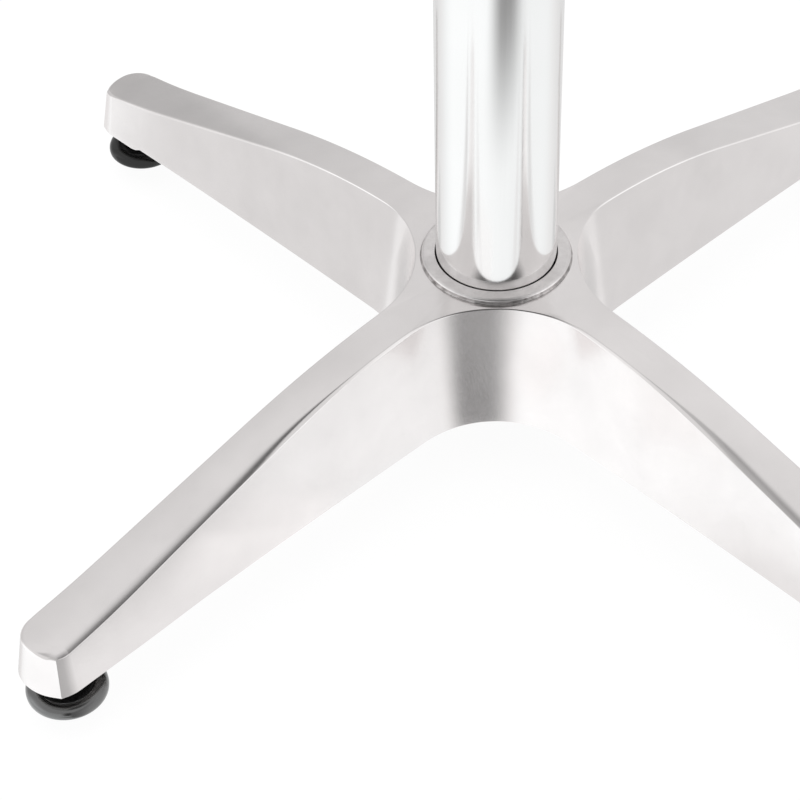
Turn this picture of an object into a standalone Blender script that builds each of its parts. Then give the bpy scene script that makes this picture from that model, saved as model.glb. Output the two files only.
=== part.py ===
"""Four-leg cast pedestal base for a small table: casting, column, tie rod, top spider and levelling feet.

Units are metres, +Z is up. The origin lies on the floor under the column's axis.
"""
import math

import bmesh
import bpy
from mathutils import Matrix, Vector

# Whole pedestal
TABLE_HEIGHT = 0.720        # floor to the underside of the table top
SEAT_GAP = 0.0003           # gap between faces that rest on each other

# Column tube
COLUMN_RADIUS = 0.030
COLUMN_WALL = 0.002

# Sockets that hold the column's two ends
SOCKET_CLEARANCE = 0.001    # radial gap that shows as a dark ring round the column
SOCKET_DEPTH = 0.020
SOCKET_FLOOR = 0.008
COLLAR_WALL = 0.0062        # raised ring round the socket's mouth
COLLAR_RISE = 0.003
COLLAR_CHAMFER = 0.0006

# Four-leg casting
HUB_HEIGHT = 0.0937         # top of the casting beside the collar
HUB_SHOULDER = 0.003        # flat between the collar and the throats
LEG_REACH = 0.304           # column axis to the end of a leg, at its rim
LEG_ROOT_WIDTH = 0.0236     # top face at the hub
LEG_TIP_WIDTH = 0.0290      # top face at the end
LEG_TIP_HEIGHT = 0.0415     # top face at the end
LEG_DRAFT = math.radians(9.0)
BEND_START = 0.050          # the top is level up to here
BEND_END = 0.160            # and falls straight from here
EASE_START = 0.245          # then eases off from here to the end
EASE_SHARE = 0.57           # slope at the end, as a share of the straight slope
RIM_HUB_HEIGHT = 0.027      # lower edge under the hub
RIM_TIP_HEIGHT = 0.0193     # lower edge at the end
TIP_CORNER = 0.0125         # plan radius of the end's corners, at the top face
EDGE_RADIUS_ROOT = 0.0018   # rounding of the top edges at the hub
EDGE_RADIUS_TIP = 0.0045    # rounding of the top edges at the end
CORNER_LIMIT = 0.95         # most of an arm's half width that its end corners may take
CASTING_WALL = 0.004
CASTING_ROOF = 0.0045

# Levelling feet
FOOT_INSET = 0.0204         # leg end to the foot's axis
PAD_RADIUS = 0.0197
PAD_HEIGHT = 0.0075
PAD_SOLE_RADIUS = 0.0145
PAD_TOP_RADIUS = 0.0170
PAD_DISH = 0.0008
STUD_RADIUS = 0.004
STUD_HEAD_RADIUS = 0.0065
STUD_HEAD_HEIGHT = 0.0022
STUD_HEAD_LIFT = 0.0008     # the head stays clear of the floor
STUD_HEX_FLATS = 0.013
STUD_HEX_HEIGHT = 0.005
STUD_TRAVEL_IN = 0.002      # how much further the stud can screw in
STUD_CHAMFER = 0.0008
FOOT_NUT_FLATS = 0.013
FOOT_NUT_HEIGHT = 0.0065
BOSS_WALL = 0.003
BOSS_RECESS = 0.0012        # boss face above the leg's lower edge

# Tie rod and its fasteners
ROD_RADIUS = 0.005
ROD_HOLE_CLEARANCE = 0.0005
ROD_TAIL = 0.003            # rod past each nut
ROD_CHAMFER = 0.0009
ROD_NUT_FLATS = 0.017
ROD_NUT_HEIGHT = 0.0084
NUT_CHAMFER = math.radians(30)
PLATE_WASHER_RADIUS = 0.015
PLATE_WASHER_HEIGHT = 0.0025
WASHER_MARGIN = 0.002       # flat seat past a washer's edge
SPRING_WASHER_RADIUS = 0.0090
SPRING_WASHER_HEIGHT = 0.0022
SPRING_WASHER_SPLIT = 0.0016

# Top spider
SPIDER_REACH = 0.150
SPIDER_ROOT_WIDTH = 0.034
SPIDER_TIP_WIDTH = 0.028
SPIDER_ROOT_THICKNESS = 0.014
SPIDER_TIP_THICKNESS = 0.007
SPIDER_SHOULDER = 0.006
SPIDER_CORNER = 0.010
SPIDER_EDGE = 0.0015
SPIDER_WEB = 0.008
SPIDER_COVER = 0.001        # rod end below the table top
SCREW_INSET = 0.016
SCREW_HOLE_RADIUS = 0.00325

# Resolution
THROAT_STEPS = 10
LEG_STEPS = 12
ARM_STEPS = 2
CORNER_STEPS = 5
EDGE_STEPS = 3
COLUMN_STEPS = 48
PAD_STEPS = 28
PAD_EDGE_STEPS = 3
SMALL_STEPS = 18
SHARP_ANGLE = math.radians(35)

# Sizes that follow from the driving dimensions
SOCKET_RADIUS = COLUMN_RADIUS + SOCKET_CLEARANCE
COLLAR_RADIUS = SOCKET_RADIUS + COLLAR_WALL
COLLAR_TOP = HUB_HEIGHT + COLLAR_RISE
SOCKET_BOTTOM = COLLAR_TOP - SOCKET_DEPTH
CORE_BOTTOM = SOCKET_BOTTOM - SOCKET_FLOOR
ROD_HOLE_RADIUS = ROD_RADIUS + ROD_HOLE_CLEARANCE
FOOT_CIRCLE = LEG_REACH - FOOT_INSET
DRAFT_RATE = math.tan(LEG_DRAFT)

# Order of the feet, as seen with the front towards -Y
LEG_ANGLES = {
    "back_right": math.radians(45),
    "back_left": math.radians(135),
    "front_left": math.radians(225),
    "front_right": math.radians(315),
}


def clear_scene():
    for item in list(bpy.data.objects):
        bpy.data.objects.remove(item, do_unlink=True)


def finish(name, colour, roughness, metallic):
    material = bpy.data.materials.new(name)
    material.use_nodes = True
    shader = material.node_tree.nodes["Principled BSDF"]
    shader.inputs["Base Color"].default_value = (*colour, 1.0)
    shader.inputs["Roughness"].default_value = roughness
    shader.inputs["Metallic"].default_value = metallic
    return material


def make_object(name, shape, material=None, parent=None):
    bmesh.ops.recalc_face_normals(shape, faces=shape.faces)
    mesh = bpy.data.meshes.new(name)
    shape.to_mesh(mesh)
    shape.free()
    mesh.shade_smooth()
    mesh.set_sharp_from_angle(angle=SHARP_ANGLE)
    if material:
        mesh.materials.append(material)
    item = bpy.data.objects.new(name, mesh)
    item.parent = parent
    bpy.context.collection.objects.link(item)
    return item


def place_verts(shape, points):
    return [shape.verts.new(point) for point in points]


def bridge(shape, lower, upper):
    """Quads between two rings of as many vertices."""
    count = len(lower)
    for i in range(count):
        j = (i + 1) % count
        shape.faces.new((lower[i], lower[j], upper[j], upper[i]))


def loft(loops, ring=False):
    """A closed body through a run of loops: capped at both ends, or joined into a ring."""
    shape = bmesh.new()
    rings = [place_verts(shape, loop) for loop in loops]
    for lower, upper in zip(rings, rings[1:]):
        bridge(shape, lower, upper)
    if ring:
        bridge(shape, rings[-1], rings[0])
    else:
        shape.faces.new(rings[0])
        shape.faces.new(rings[-1])
    return shape


def circle(radius, height, count=SMALL_STEPS):
    turns = [2 * math.pi * i / count for i in range(count)]
    return [Vector((radius * math.cos(t), radius * math.sin(t), height)) for t in turns]


def hexagon(flats, height, count=SMALL_STEPS):
    """A hexagon with extra points along its sides, to match a circle of as many points."""
    points = []
    for point in circle(1.0, height, count):
        turn = math.atan2(point.y, point.x) % (math.pi / 3) - math.pi / 6
        reach = flats / 2 / math.cos(turn)
        points.append(Vector((point.x * reach, point.y * reach, height)))
    return points


def carve(item, tools, operation):
    """Join or cut an object with closed tool shapes, and keep only the result."""
    helpers = []
    for tool in tools:
        helper = make_object("tool", tool)
        helper.hide_render = True
        helper.display_type = "WIRE"
        step = item.modifiers.new("carve", "BOOLEAN")
        step.operation = operation
        step.solver = "EXACT"
        step.object = helper
        helpers.append(helper)
    view = bpy.context.evaluated_depsgraph_get()
    carved = bpy.data.meshes.new_from_object(item.evaluated_get(view))
    item.modifiers.clear()
    item.data = carved
    for helper in helpers:
        bpy.data.objects.remove(helper, do_unlink=True)


class Star:
    """Plan outline of a four-armed casting: straight arms, round throats, rounded ends.

    Each outline point has its place, its outward normal and its distance along its own arm.
    """

    def __init__(self, hub_radius, root_half, taper, end, corner, side_steps):
        lean = math.hypot(1.0, taper)
        spread = math.sqrt(2) * lean / (1 - taper) - 1
        throat = (hub_radius - math.sqrt(2) * root_half / (1 - taper)) / spread
        centre = (throat * lean + root_half) / (1 - taper)
        side_normal = Vector((-taper, 1.0)) / lean
        self.root = centre - side_normal.x * throat
        self.bisector = hub_radius / math.sqrt(2)
        corner_r = end - corner
        corner_t = root_half + taper * corner_r - corner * lean
        tilt = math.atan2(side_normal.y, side_normal.x)

        one_side = []
        for i in range(side_steps):
            r = self.root + (corner_r + side_normal.x * corner - self.root) * i / side_steps
            one_side.append((Vector((r, root_half + taper * r)), side_normal))
        for i in range(CORNER_STEPS + 1):
            turn = tilt * (1 - i / CORNER_STEPS)
            normal = Vector((math.cos(turn), math.sin(turn)))
            one_side.append((Vector((corner_r, corner_t)) + normal * corner, normal))
        other_side = [(Vector((p.x, -p.y)), Vector((n.x, -n.y))) for p, n in one_side]

        start = tilt + math.pi
        arc = []
        for i in range(1, THROAT_STEPS):
            turn = start + (math.pi * 2.5 - 2 * start) * i / THROAT_STEPS
            inward = Vector((math.cos(turn), math.sin(turn)))
            arc.append((Vector((centre, centre)) + inward * throat, -inward))

        self.points = []
        for angle in LEG_ANGLES.values():
            turn = Matrix.Rotation(angle, 2)
            for point, normal in other_side + one_side[::-1] + arc:
                along = max(abs(point.x), abs(point.y))
                self.points.append((turn @ point, turn @ normal, along))
        self.side_count = len(one_side)
        self.leg_count = len(self.points) // 4

    def loop(self, offset, height):
        """The outline moved out by offset(r) and lifted to height(r)."""
        result = []
        for point, normal, r in self.points:
            moved = point + normal * offset(r)
            result.append(Vector((moved.x, moved.y, height(r))))
        return result

    def close(self, shape, loop, hub):
        """Faces that fill an outline loop in to a round hub loop."""
        side = self.side_count
        per_leg = self.leg_count
        count = len(loop)
        for leg in range(4):
            first = leg * per_leg
            last = first + 2 * side - 1
            for i in range(side - CORNER_STEPS - 1):
                near = (loop[first + i], loop[first + i + 1])
                far = (loop[last - i - 1], loop[last - i])
                shape.faces.new(near + far)
            tip = side - CORNER_STEPS - 1
            shape.faces.new(loop[first + tip:last - tip + 1])
            axis_point = hub[leg * THROAT_STEPS]
            shape.faces.new((loop[first], loop[last], axis_point))
            for i in range(THROAT_STEPS):
                a = loop[last + i]
                b = loop[(last + i + 1) % count]
                c = hub[(leg * THROAT_STEPS + i + 1) % len(hub)]
                d = hub[leg * THROAT_STEPS + i]
                shape.faces.new((a, b, c, d))


def hub_circle(radius, height):
    """A circle whose points line up with the arms and throats of a star."""
    turn = Matrix.Rotation(next(iter(LEG_ANGLES.values())), 3, "Z")
    return [turn @ point for point in circle(radius, height, 4 * THROAT_STEPS)]


def casting_top(r):
    """Height of the top face: level, a bend, a straight fall, and an easing end."""
    tip = LEG_REACH - (LEG_TIP_HEIGHT - RIM_TIP_HEIGHT) * DRAFT_RATE
    bend = BEND_END - BEND_START
    ease = tip - EASE_START
    run = bend / 2 + EASE_START - BEND_END + ease * (1 + EASE_SHARE) / 2
    slope = (HUB_HEIGHT - LEG_TIP_HEIGHT) / run
    in_bend = min(max(r - BEND_START, 0.0), bend)
    in_straight = max(r - BEND_END, 0.0)
    in_ease = max(r - EASE_START, 0.0)
    fall = in_bend ** 2 / (2 * bend) + in_straight - (1 - EASE_SHARE) * in_ease ** 2 / (2 * ease)
    return HUB_HEIGHT - slope * fall


def casting_rim(r):
    """Height of the lower edge, which arches up towards the hub."""
    return RIM_HUB_HEIGHT - (RIM_HUB_HEIGHT - RIM_TIP_HEIGHT) * (r / LEG_REACH) ** 2


def casting_edge(r):
    share = min(max((r - BEND_START) / (LEG_REACH - BEND_START), 0.0), 1.0)
    return EDGE_RADIUS_ROOT + (EDGE_RADIUS_TIP - EDGE_RADIUS_ROOT) * share


def draft(height):
    """How far the drafted walls stand out at a height, from their outline at the hub's top."""
    return (HUB_HEIGHT - height) * DRAFT_RATE


def casting_star():
    tip_draft = draft(LEG_TIP_HEIGHT)
    end = LEG_REACH - draft(RIM_TIP_HEIGHT)
    root_half = LEG_ROOT_WIDTH / 2
    taper = (LEG_TIP_WIDTH / 2 - tip_draft - root_half) / end
    corner = min(TIP_CORNER, CORNER_LIMIT * LEG_TIP_WIDTH / 2) - tip_draft
    return Star(COLLAR_RADIUS + HUB_SHOULDER, root_half, taper, end, corner, LEG_STEPS)


def foot_roof():
    """Top of the blind hole over a foot."""
    return casting_top(FOOT_CIRCLE) - CASTING_ROOF


def boss_face():
    return casting_rim(FOOT_CIRCLE) + BOSS_RECESS


def build_casting(material):
    """One hollow casting: drafted walls, open underside, column socket and four foot bosses."""
    star = casting_star()

    def ceiling(r):
        roof = casting_top(max(r, star.root)) - CASTING_ROOF
        share = min(max((r - star.bisector) / (star.root - star.bisector), 0.0), 1.0)
        return CORE_BOTTOM + (roof - CORE_BOTTOM) * share

    shape = bmesh.new()
    outer = [place_verts(shape, star.loop(lambda r: draft(casting_rim(r)), casting_rim))]
    for i in range(EDGE_STEPS + 1):
        turn = math.pi / 2 * i / EDGE_STEPS
        rise = 1 - math.sin(turn)
        inset = 1 - math.cos(turn)

        def height(r):
            return casting_top(r) - casting_edge(r) * rise

        def offset(r):
            return draft(height(r)) - casting_edge(r) * inset

        outer.append(place_verts(shape, star.loop(offset, height)))
    for lower, upper in zip(outer, outer[1:]):
        bridge(shape, lower, upper)

    socket = [
        (COLLAR_RADIUS, HUB_HEIGHT),
        (COLLAR_RADIUS, COLLAR_TOP - COLLAR_CHAMFER),
        (COLLAR_RADIUS - COLLAR_CHAMFER, COLLAR_TOP),
        (SOCKET_RADIUS, COLLAR_TOP),
        (SOCKET_RADIUS, SOCKET_BOTTOM),
        (ROD_HOLE_RADIUS, SOCKET_BOTTOM),
        (ROD_HOLE_RADIUS, CORE_BOTTOM),
        (PLATE_WASHER_RADIUS + WASHER_MARGIN, CORE_BOTTOM),
    ]
    rings = [place_verts(shape, hub_circle(radius, height)) for radius, height in socket]
    for lower, upper in zip(rings, rings[1:]):
        bridge(shape, lower, upper)
    star.close(shape, outer[-1], rings[0])

    inner_top = place_verts(shape, star.loop(lambda r: draft(ceiling(r)) - CASTING_WALL, ceiling))
    inner_rim = place_verts(shape, star.loop(lambda r: draft(casting_rim(r)) - CASTING_WALL, casting_rim))
    star.close(shape, inner_top, rings[-1])
    bridge(shape, inner_top, inner_rim)
    bridge(shape, inner_rim, outer[0])
    casting = make_object("base_casting", shape, material)

    pocket_flats = FOOT_NUT_FLATS + 2 * SEAT_GAP
    boss_radius = pocket_flats / math.sqrt(3) + BOSS_WALL
    bosses = []
    pockets = []
    for angle in LEG_ANGLES.values():
        axis = Vector((math.cos(angle), math.sin(angle), 0)) * FOOT_CIRCLE
        arm = axis.normalized()
        face = [axis + point for point in circle(boss_radius, boss_face())]
        top = []
        for point in circle(boss_radius, 0.0):
            r = FOOT_CIRCLE + point.dot(arm)
            top.append(axis + point + Vector((0, 0, casting_top(r) - CASTING_ROOF / 2)))
        bosses.append(loft([face, top]))
        below = boss_face() - BOSS_WALL
        pocket_top = boss_face() + FOOT_NUT_HEIGHT + 2 * SEAT_GAP
        bore = STUD_RADIUS + 2 * SEAT_GAP
        pocket = [
            hexagon(pocket_flats, below),
            hexagon(pocket_flats, pocket_top),
            circle(bore, pocket_top),
            circle(bore, foot_roof()),
        ]
        pockets.append(loft([[axis + point for point in loop] for loop in pocket]))
    carve(casting, bosses, "UNION")
    carve(casting, pockets, "DIFFERENCE")
    return casting


def spider_heights():
    """Underside of the spider's web, and the bottom of its column socket."""
    stack = PLATE_WASHER_HEIGHT + ROD_NUT_HEIGHT + ROD_TAIL + SPIDER_COVER + 2 * SEAT_GAP
    web_bottom = TABLE_HEIGHT - stack - SPIDER_WEB
    return web_bottom, web_bottom - SOCKET_DEPTH


def build_column(material):
    low = SOCKET_BOTTOM + SEAT_GAP
    high = spider_heights()[0] - SEAT_GAP
    bore = COLUMN_RADIUS - COLUMN_WALL
    loops = [
        circle(COLUMN_RADIUS, low, COLUMN_STEPS),
        circle(COLUMN_RADIUS, high, COLUMN_STEPS),
        circle(bore, high, COLUMN_STEPS),
        circle(bore, low, COLUMN_STEPS),
    ]
    return make_object("column_tube", loft(loops, ring=True), material)


def build_spider(material):
    """Flat-topped four-arm plate that screws to the table top and holds the column's upper end."""
    web_bottom, mouth = spider_heights()
    web_top = web_bottom + SPIDER_WEB
    root_half = SPIDER_ROOT_WIDTH / 2
    taper = (SPIDER_TIP_WIDTH - SPIDER_ROOT_WIDTH) / 2 / SPIDER_REACH
    corner = min(SPIDER_CORNER, CORNER_LIMIT * SPIDER_TIP_WIDTH / 2)
    star = Star(COLLAR_RADIUS + SPIDER_SHOULDER, root_half, taper, SPIDER_REACH, corner, ARM_STEPS)

    def underside(r):
        share = min(max((r - star.root) / (SPIDER_REACH - star.root), 0.0), 1.0)
        thickness = SPIDER_ROOT_THICKNESS + (SPIDER_TIP_THICKNESS - SPIDER_ROOT_THICKNESS) * share
        return TABLE_HEIGHT - thickness

    shape = bmesh.new()
    outer = [
        star.loop(lambda r: -SPIDER_EDGE, underside),
        star.loop(lambda r: 0.0, lambda r: underside(r) + SPIDER_EDGE),
        star.loop(lambda r: 0.0, lambda r: TABLE_HEIGHT - SPIDER_EDGE),
        star.loop(lambda r: -SPIDER_EDGE, lambda r: TABLE_HEIGHT),
    ]
    outer = [place_verts(shape, loop) for loop in outer]
    for lower, upper in zip(outer, outer[1:]):
        bridge(shape, lower, upper)

    recess = PLATE_WASHER_RADIUS + WASHER_MARGIN
    hub = [
        (recess, TABLE_HEIGHT),
        (recess, web_top),
        (ROD_HOLE_RADIUS, web_top),
        (ROD_HOLE_RADIUS, web_bottom),
        (SOCKET_RADIUS, web_bottom),
        (SOCKET_RADIUS, mouth),
        (COLLAR_RADIUS - COLLAR_CHAMFER, mouth),
        (COLLAR_RADIUS, mouth + COLLAR_CHAMFER),
        (COLLAR_RADIUS, underside(star.root)),
    ]
    rings = [place_verts(shape, hub_circle(radius, height)) for radius, height in hub]
    for lower, upper in zip(rings, rings[1:]):
        bridge(shape, lower, upper)
    star.close(shape, outer[-1], rings[0])
    star.close(shape, outer[0], rings[-1])
    spider = make_object("top_spider", shape, material)

    holes = []
    for angle in LEG_ANGLES.values():
        axis = Vector((math.cos(angle), math.sin(angle), 0)) * (SPIDER_REACH - SCREW_INSET)
        low = TABLE_HEIGHT - SPIDER_ROOT_THICKNESS - SPIDER_EDGE
        ends = (low, TABLE_HEIGHT + SPIDER_EDGE)
        holes.append(loft([[axis + p for p in circle(SCREW_HOLE_RADIUS, z)] for z in ends]))
    carve(spider, holes, "DIFFERENCE")
    return spider


def build_plate_washer(name, low, material):
    high = low + PLATE_WASHER_HEIGHT
    loops = [
        circle(PLATE_WASHER_RADIUS, low),
        circle(PLATE_WASHER_RADIUS, high),
        circle(ROD_HOLE_RADIUS, high),
        circle(ROD_HOLE_RADIUS, low),
    ]
    return make_object(name, loft(loops, ring=True), material)


def build_spring_washer(name, low, material):
    """Split ring, pressed flat by its nut."""
    high = low + SPRING_WASHER_HEIGHT
    half_split = SPRING_WASHER_SPLIT / (SPRING_WASHER_RADIUS + ROD_HOLE_RADIUS)
    loops = []
    for i in range(SMALL_STEPS + 1):
        turn = half_split + (2 * math.pi - 2 * half_split) * i / SMALL_STEPS
        outward = Vector((math.cos(turn), math.sin(turn), 0))
        inside = outward * ROD_HOLE_RADIUS
        outside = outward * SPRING_WASHER_RADIUS
        bottom = Vector((0, 0, low))
        top = Vector((0, 0, high))
        loops.append([inside + bottom, outside + bottom, outside + top, inside + top])
    return make_object(name, loft(loops), material)


def nut_loops(flats, bore, low, thickness):
    """A hexagon nut: flats, a chamfer at both ends, and its bore."""
    chamfer = (flats / math.sqrt(3) - flats / 2) * math.tan(NUT_CHAMFER)
    high = low + thickness
    face = flats / 2
    return [
        circle(face, low),
        hexagon(flats, low + chamfer),
        hexagon(flats, high - chamfer),
        circle(face, high),
        circle(bore, high),
        circle(bore, low),
    ]


def build_tie_rod(material):
    """Rod through the column, with its washers and nuts at both ends."""
    bore = ROD_RADIUS + SEAT_GAP
    washer_low = CORE_BOTTOM - SEAT_GAP - PLATE_WASHER_HEIGHT
    spring_low = washer_low - SEAT_GAP - SPRING_WASHER_HEIGHT
    nut_low = spring_low - SEAT_GAP - ROD_NUT_HEIGHT
    build_plate_washer("base_plate_washer", washer_low, material)
    build_spring_washer("base_spring_washer", spring_low, material)
    lower_nut = nut_loops(ROD_NUT_FLATS, bore, nut_low, ROD_NUT_HEIGHT)
    make_object("base_rod_nut", loft(lower_nut, ring=True), material)

    top_washer_low = spider_heights()[0] + SPIDER_WEB + SEAT_GAP
    top_nut_low = top_washer_low + PLATE_WASHER_HEIGHT + SEAT_GAP
    build_plate_washer("top_plate_washer", top_washer_low, material)
    upper_nut = nut_loops(ROD_NUT_FLATS, bore, top_nut_low, ROD_NUT_HEIGHT)
    make_object("top_rod_nut", loft(upper_nut, ring=True), material)

    low = nut_low - ROD_TAIL
    high = top_nut_low + ROD_NUT_HEIGHT + ROD_TAIL
    loops = [
        circle(ROD_RADIUS - ROD_CHAMFER, low),
        circle(ROD_RADIUS, low + ROD_CHAMFER),
        circle(ROD_RADIUS, high - ROD_CHAMFER),
        circle(ROD_RADIUS - ROD_CHAMFER, high),
    ]
    make_object("tie_rod", loft(loops), material)


def pad_loops():
    """Moulded foot pad: flat sole, bulged side, dished top, and a stepped hole for the stud's head."""
    head_bore = STUD_HEAD_RADIUS + SEAT_GAP
    neck_bore = STUD_RADIUS + SEAT_GAP
    ledge = STUD_HEAD_LIFT + STUD_HEAD_HEIGHT + SEAT_GAP
    waist = PAD_HEIGHT / 2
    profile = [(head_bore, 0.0)]
    for i in range(PAD_EDGE_STEPS + 1):
        turn = math.pi / 2 * i / PAD_EDGE_STEPS
        out = (PAD_RADIUS - PAD_SOLE_RADIUS) * math.sin(turn)
        profile.append((PAD_SOLE_RADIUS + out, waist * (1 - math.cos(turn))))
    for i in range(1, PAD_EDGE_STEPS + 1):
        turn = math.pi / 2 * i / PAD_EDGE_STEPS
        out = (PAD_RADIUS - PAD_TOP_RADIUS) * math.cos(turn)
        profile.append((PAD_TOP_RADIUS + out, waist + (PAD_HEIGHT - waist) * math.sin(turn)))
    profile += [
        ((PAD_TOP_RADIUS + STUD_HEX_FLATS / 2) / 2, PAD_HEIGHT - PAD_DISH),
        (STUD_HEX_FLATS / 2, PAD_HEIGHT),
        (neck_bore, PAD_HEIGHT),
        (neck_bore, ledge),
        (head_bore, ledge),
    ]
    return [circle(radius, height, PAD_STEPS) for radius, height in profile]


def stud_loops():
    """Steel stud: a flat head under the pad, a neck, a hexagon above the pad, and the thread's outside."""
    head_top = STUD_HEAD_LIFT + STUD_HEAD_HEIGHT
    hex_low = PAD_HEIGHT + SEAT_GAP
    hex_high = hex_low + STUD_HEX_HEIGHT
    top = foot_roof() - STUD_TRAVEL_IN - 2 * SEAT_GAP
    return [
        circle(STUD_HEAD_RADIUS, STUD_HEAD_LIFT),
        circle(STUD_HEAD_RADIUS, head_top),
        circle(STUD_RADIUS, head_top),
        circle(STUD_RADIUS, hex_low),
        hexagon(STUD_HEX_FLATS, hex_low),
        hexagon(STUD_HEX_FLATS, hex_high),
        circle(STUD_RADIUS, hex_high),
        circle(STUD_RADIUS, top - STUD_CHAMFER),
        circle(STUD_RADIUS - STUD_CHAMFER, top),
    ]


def build_foot(place, angle, pad_finish, steel_finish):
    axis = bpy.data.objects.new("foot_axis_" + place, None)
    axis.location = (FOOT_CIRCLE * math.cos(angle), FOOT_CIRCLE * math.sin(angle), 0)
    bpy.context.collection.objects.link(axis)
    nut_low = boss_face() + SEAT_GAP
    nut = nut_loops(FOOT_NUT_FLATS, STUD_RADIUS + SEAT_GAP, nut_low, FOOT_NUT_HEIGHT)
    make_object("foot_pad_" + place, loft(pad_loops(), ring=True), pad_finish, parent=axis)
    make_object("foot_stud_" + place, loft(stud_loops()), steel_finish, parent=axis)
    make_object("foot_nut_" + place, loft(nut, ring=True), steel_finish, parent=axis)


clear_scene()
cast_aluminium = finish("cast_aluminium", (0.72, 0.71, 0.69), 0.32, 1.0)
polished_aluminium = finish("polished_aluminium", (0.80, 0.80, 0.80), 0.14, 1.0)
spider_aluminium = finish("spider_aluminium", (0.62, 0.62, 0.61), 0.45, 1.0)
zinc_steel = finish("zinc_steel", (0.58, 0.58, 0.56), 0.38, 1.0)
black_plastic = finish("black_plastic", (0.012, 0.012, 0.013), 0.22, 0.0)

build_casting(cast_aluminium)
build_column(polished_aluminium)
build_spider(spider_aluminium)
build_tie_rod(zinc_steel)
for foot_place, foot_angle in LEG_ANGLES.items():
    build_foot(foot_place, foot_angle, black_plastic, zinc_steel)
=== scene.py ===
import math
from collections import namedtuple

import bmesh
import bpy
from mathutils import Matrix, Vector, noise


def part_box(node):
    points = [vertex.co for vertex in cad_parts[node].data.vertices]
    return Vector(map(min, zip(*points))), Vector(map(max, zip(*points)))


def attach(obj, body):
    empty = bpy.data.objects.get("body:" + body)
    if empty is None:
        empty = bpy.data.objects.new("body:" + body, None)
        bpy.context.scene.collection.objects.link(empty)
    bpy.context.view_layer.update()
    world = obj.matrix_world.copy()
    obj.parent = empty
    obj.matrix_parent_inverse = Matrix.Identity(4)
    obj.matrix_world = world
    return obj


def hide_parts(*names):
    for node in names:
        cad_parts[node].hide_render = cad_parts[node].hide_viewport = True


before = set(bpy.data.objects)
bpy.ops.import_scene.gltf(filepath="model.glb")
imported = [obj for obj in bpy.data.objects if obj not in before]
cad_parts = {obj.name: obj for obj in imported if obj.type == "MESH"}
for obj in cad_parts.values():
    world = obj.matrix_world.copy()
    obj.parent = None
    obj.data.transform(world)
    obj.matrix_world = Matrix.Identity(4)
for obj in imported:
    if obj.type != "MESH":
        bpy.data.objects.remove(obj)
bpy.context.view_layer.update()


# Camera: a long lens that looks down on the hub from the front, as the photograph was taken.
# The picture is a square cut from a wider frame, so the lens axis lies right of its middle.
PICTURE_WIDTH = 800
LENS_AXIS_PIXEL = 467.54
FOCAL_PIXELS = 2584.1
CAMERA_PLACE = (-0.01581, -0.96940, 0.93528)
CAMERA_PITCH = math.radians(44.181)
CAMERA_TURN = math.radians(-0.0925)

camera_data = bpy.data.cameras.new("photo_camera")
camera_data.lens = FOCAL_PIXELS * camera_data.sensor_width / PICTURE_WIDTH
camera_data.shift_x = 0.5 - LENS_AXIS_PIXEL / PICTURE_WIDTH
camera = bpy.data.objects.new("photo_camera", camera_data)
camera.location = CAMERA_PLACE
camera.rotation_euler = (math.pi / 2 - CAMERA_PITCH, 0, CAMERA_TURN)
bpy.context.collection.objects.link(camera)
bpy.context.scene.camera = camera


# Base casting: four hollow legs and a hub, poured in aluminium as one piece and open underneath.
# The outside is ground and satin polished, and a belt rolled off the inner top edges of the front legs.
# The collar round the column is turned, its ragged foot painted dark as the shade in the crease below it,
# and the inside is left as cast.
HUB_TOP = 0.0937
HUB_RADIUS = 0.0402
LEG_REACH = 0.304
LEG_ROOT_WIDTH = 0.0236
LEG_TIP_WIDTH = 0.0290
LEG_TIP_TOP = 0.0415
DRAFT = math.tan(math.radians(9.0))
BEND_START = 0.050
BEND_END = 0.160
EASE_START = 0.245
EASE_SHARE = 0.57
RIM_UNDER_HUB = 0.027
RIM_AT_TIP = 0.0193
RIM_ROUND = 0.0008
TIP_CORNER = 0.0125
WALL = 0.004
ROOF = 0.0045
CEILING_FILLET = 0.002
LEGS = ("back_right", "back_left", "front_left", "front_right")
EDGE_ROUND = (0.0007, 0.0012)     # rounding of a top edge by the hub, and out along the leg
EDGE_FACET = (0.0003, 0.0007)     # width of the facet that the belt left below it
GROUND_EDGES = (("front_left", 1), ("front_right", -1))   # these two the belt rolled off widely
WORN_CORNER = "front_left"        # here the roll-off runs on round the corner of the end
GROUND_ROUND = 0.0140
GROUND_FACET = (0.0012, 0.0004)
GROUND_LEAN = math.radians(26)
GROUND_GROWTH = (0.100, 0.205)
FACET_LEAN = math.radians(50)
WALL_LEAN = math.radians(81)
RIDGE_RADIUS = 0.0008             # the ridge between facet and side
FACET_START = (0.052, 0.078)
EDGE_GROWTH = (0.058, 0.200)
FACET_FADE = (0.262, 0.292)
FACET_FADE_SHARE = 0.8
END_ROUND = (0.0026, 0.0013)      # the end's top edge is rounded right over
END_GROWTH = {-1: (0.2835, 0.2915), 0: (0.2880, 0.2915), 1: (0.2815, 0.2918)}
CORNER_RUN = (0.001, 0.0113)      # where the ground edge runs out across the end
TOP_CROWN = 0.0003
WAVE_DEPTH = 0.00010              # hand polishing leaves the walls faintly wavy
WAVE_LENGTH = 0.035
# legs whose lower edge hangs lower: how deep, from where and over what length
SAGS = {"back_left": (0.0024, 0.2645, 0.003), "front_left": (0.0010, 0.205, 0.050)}
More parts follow.
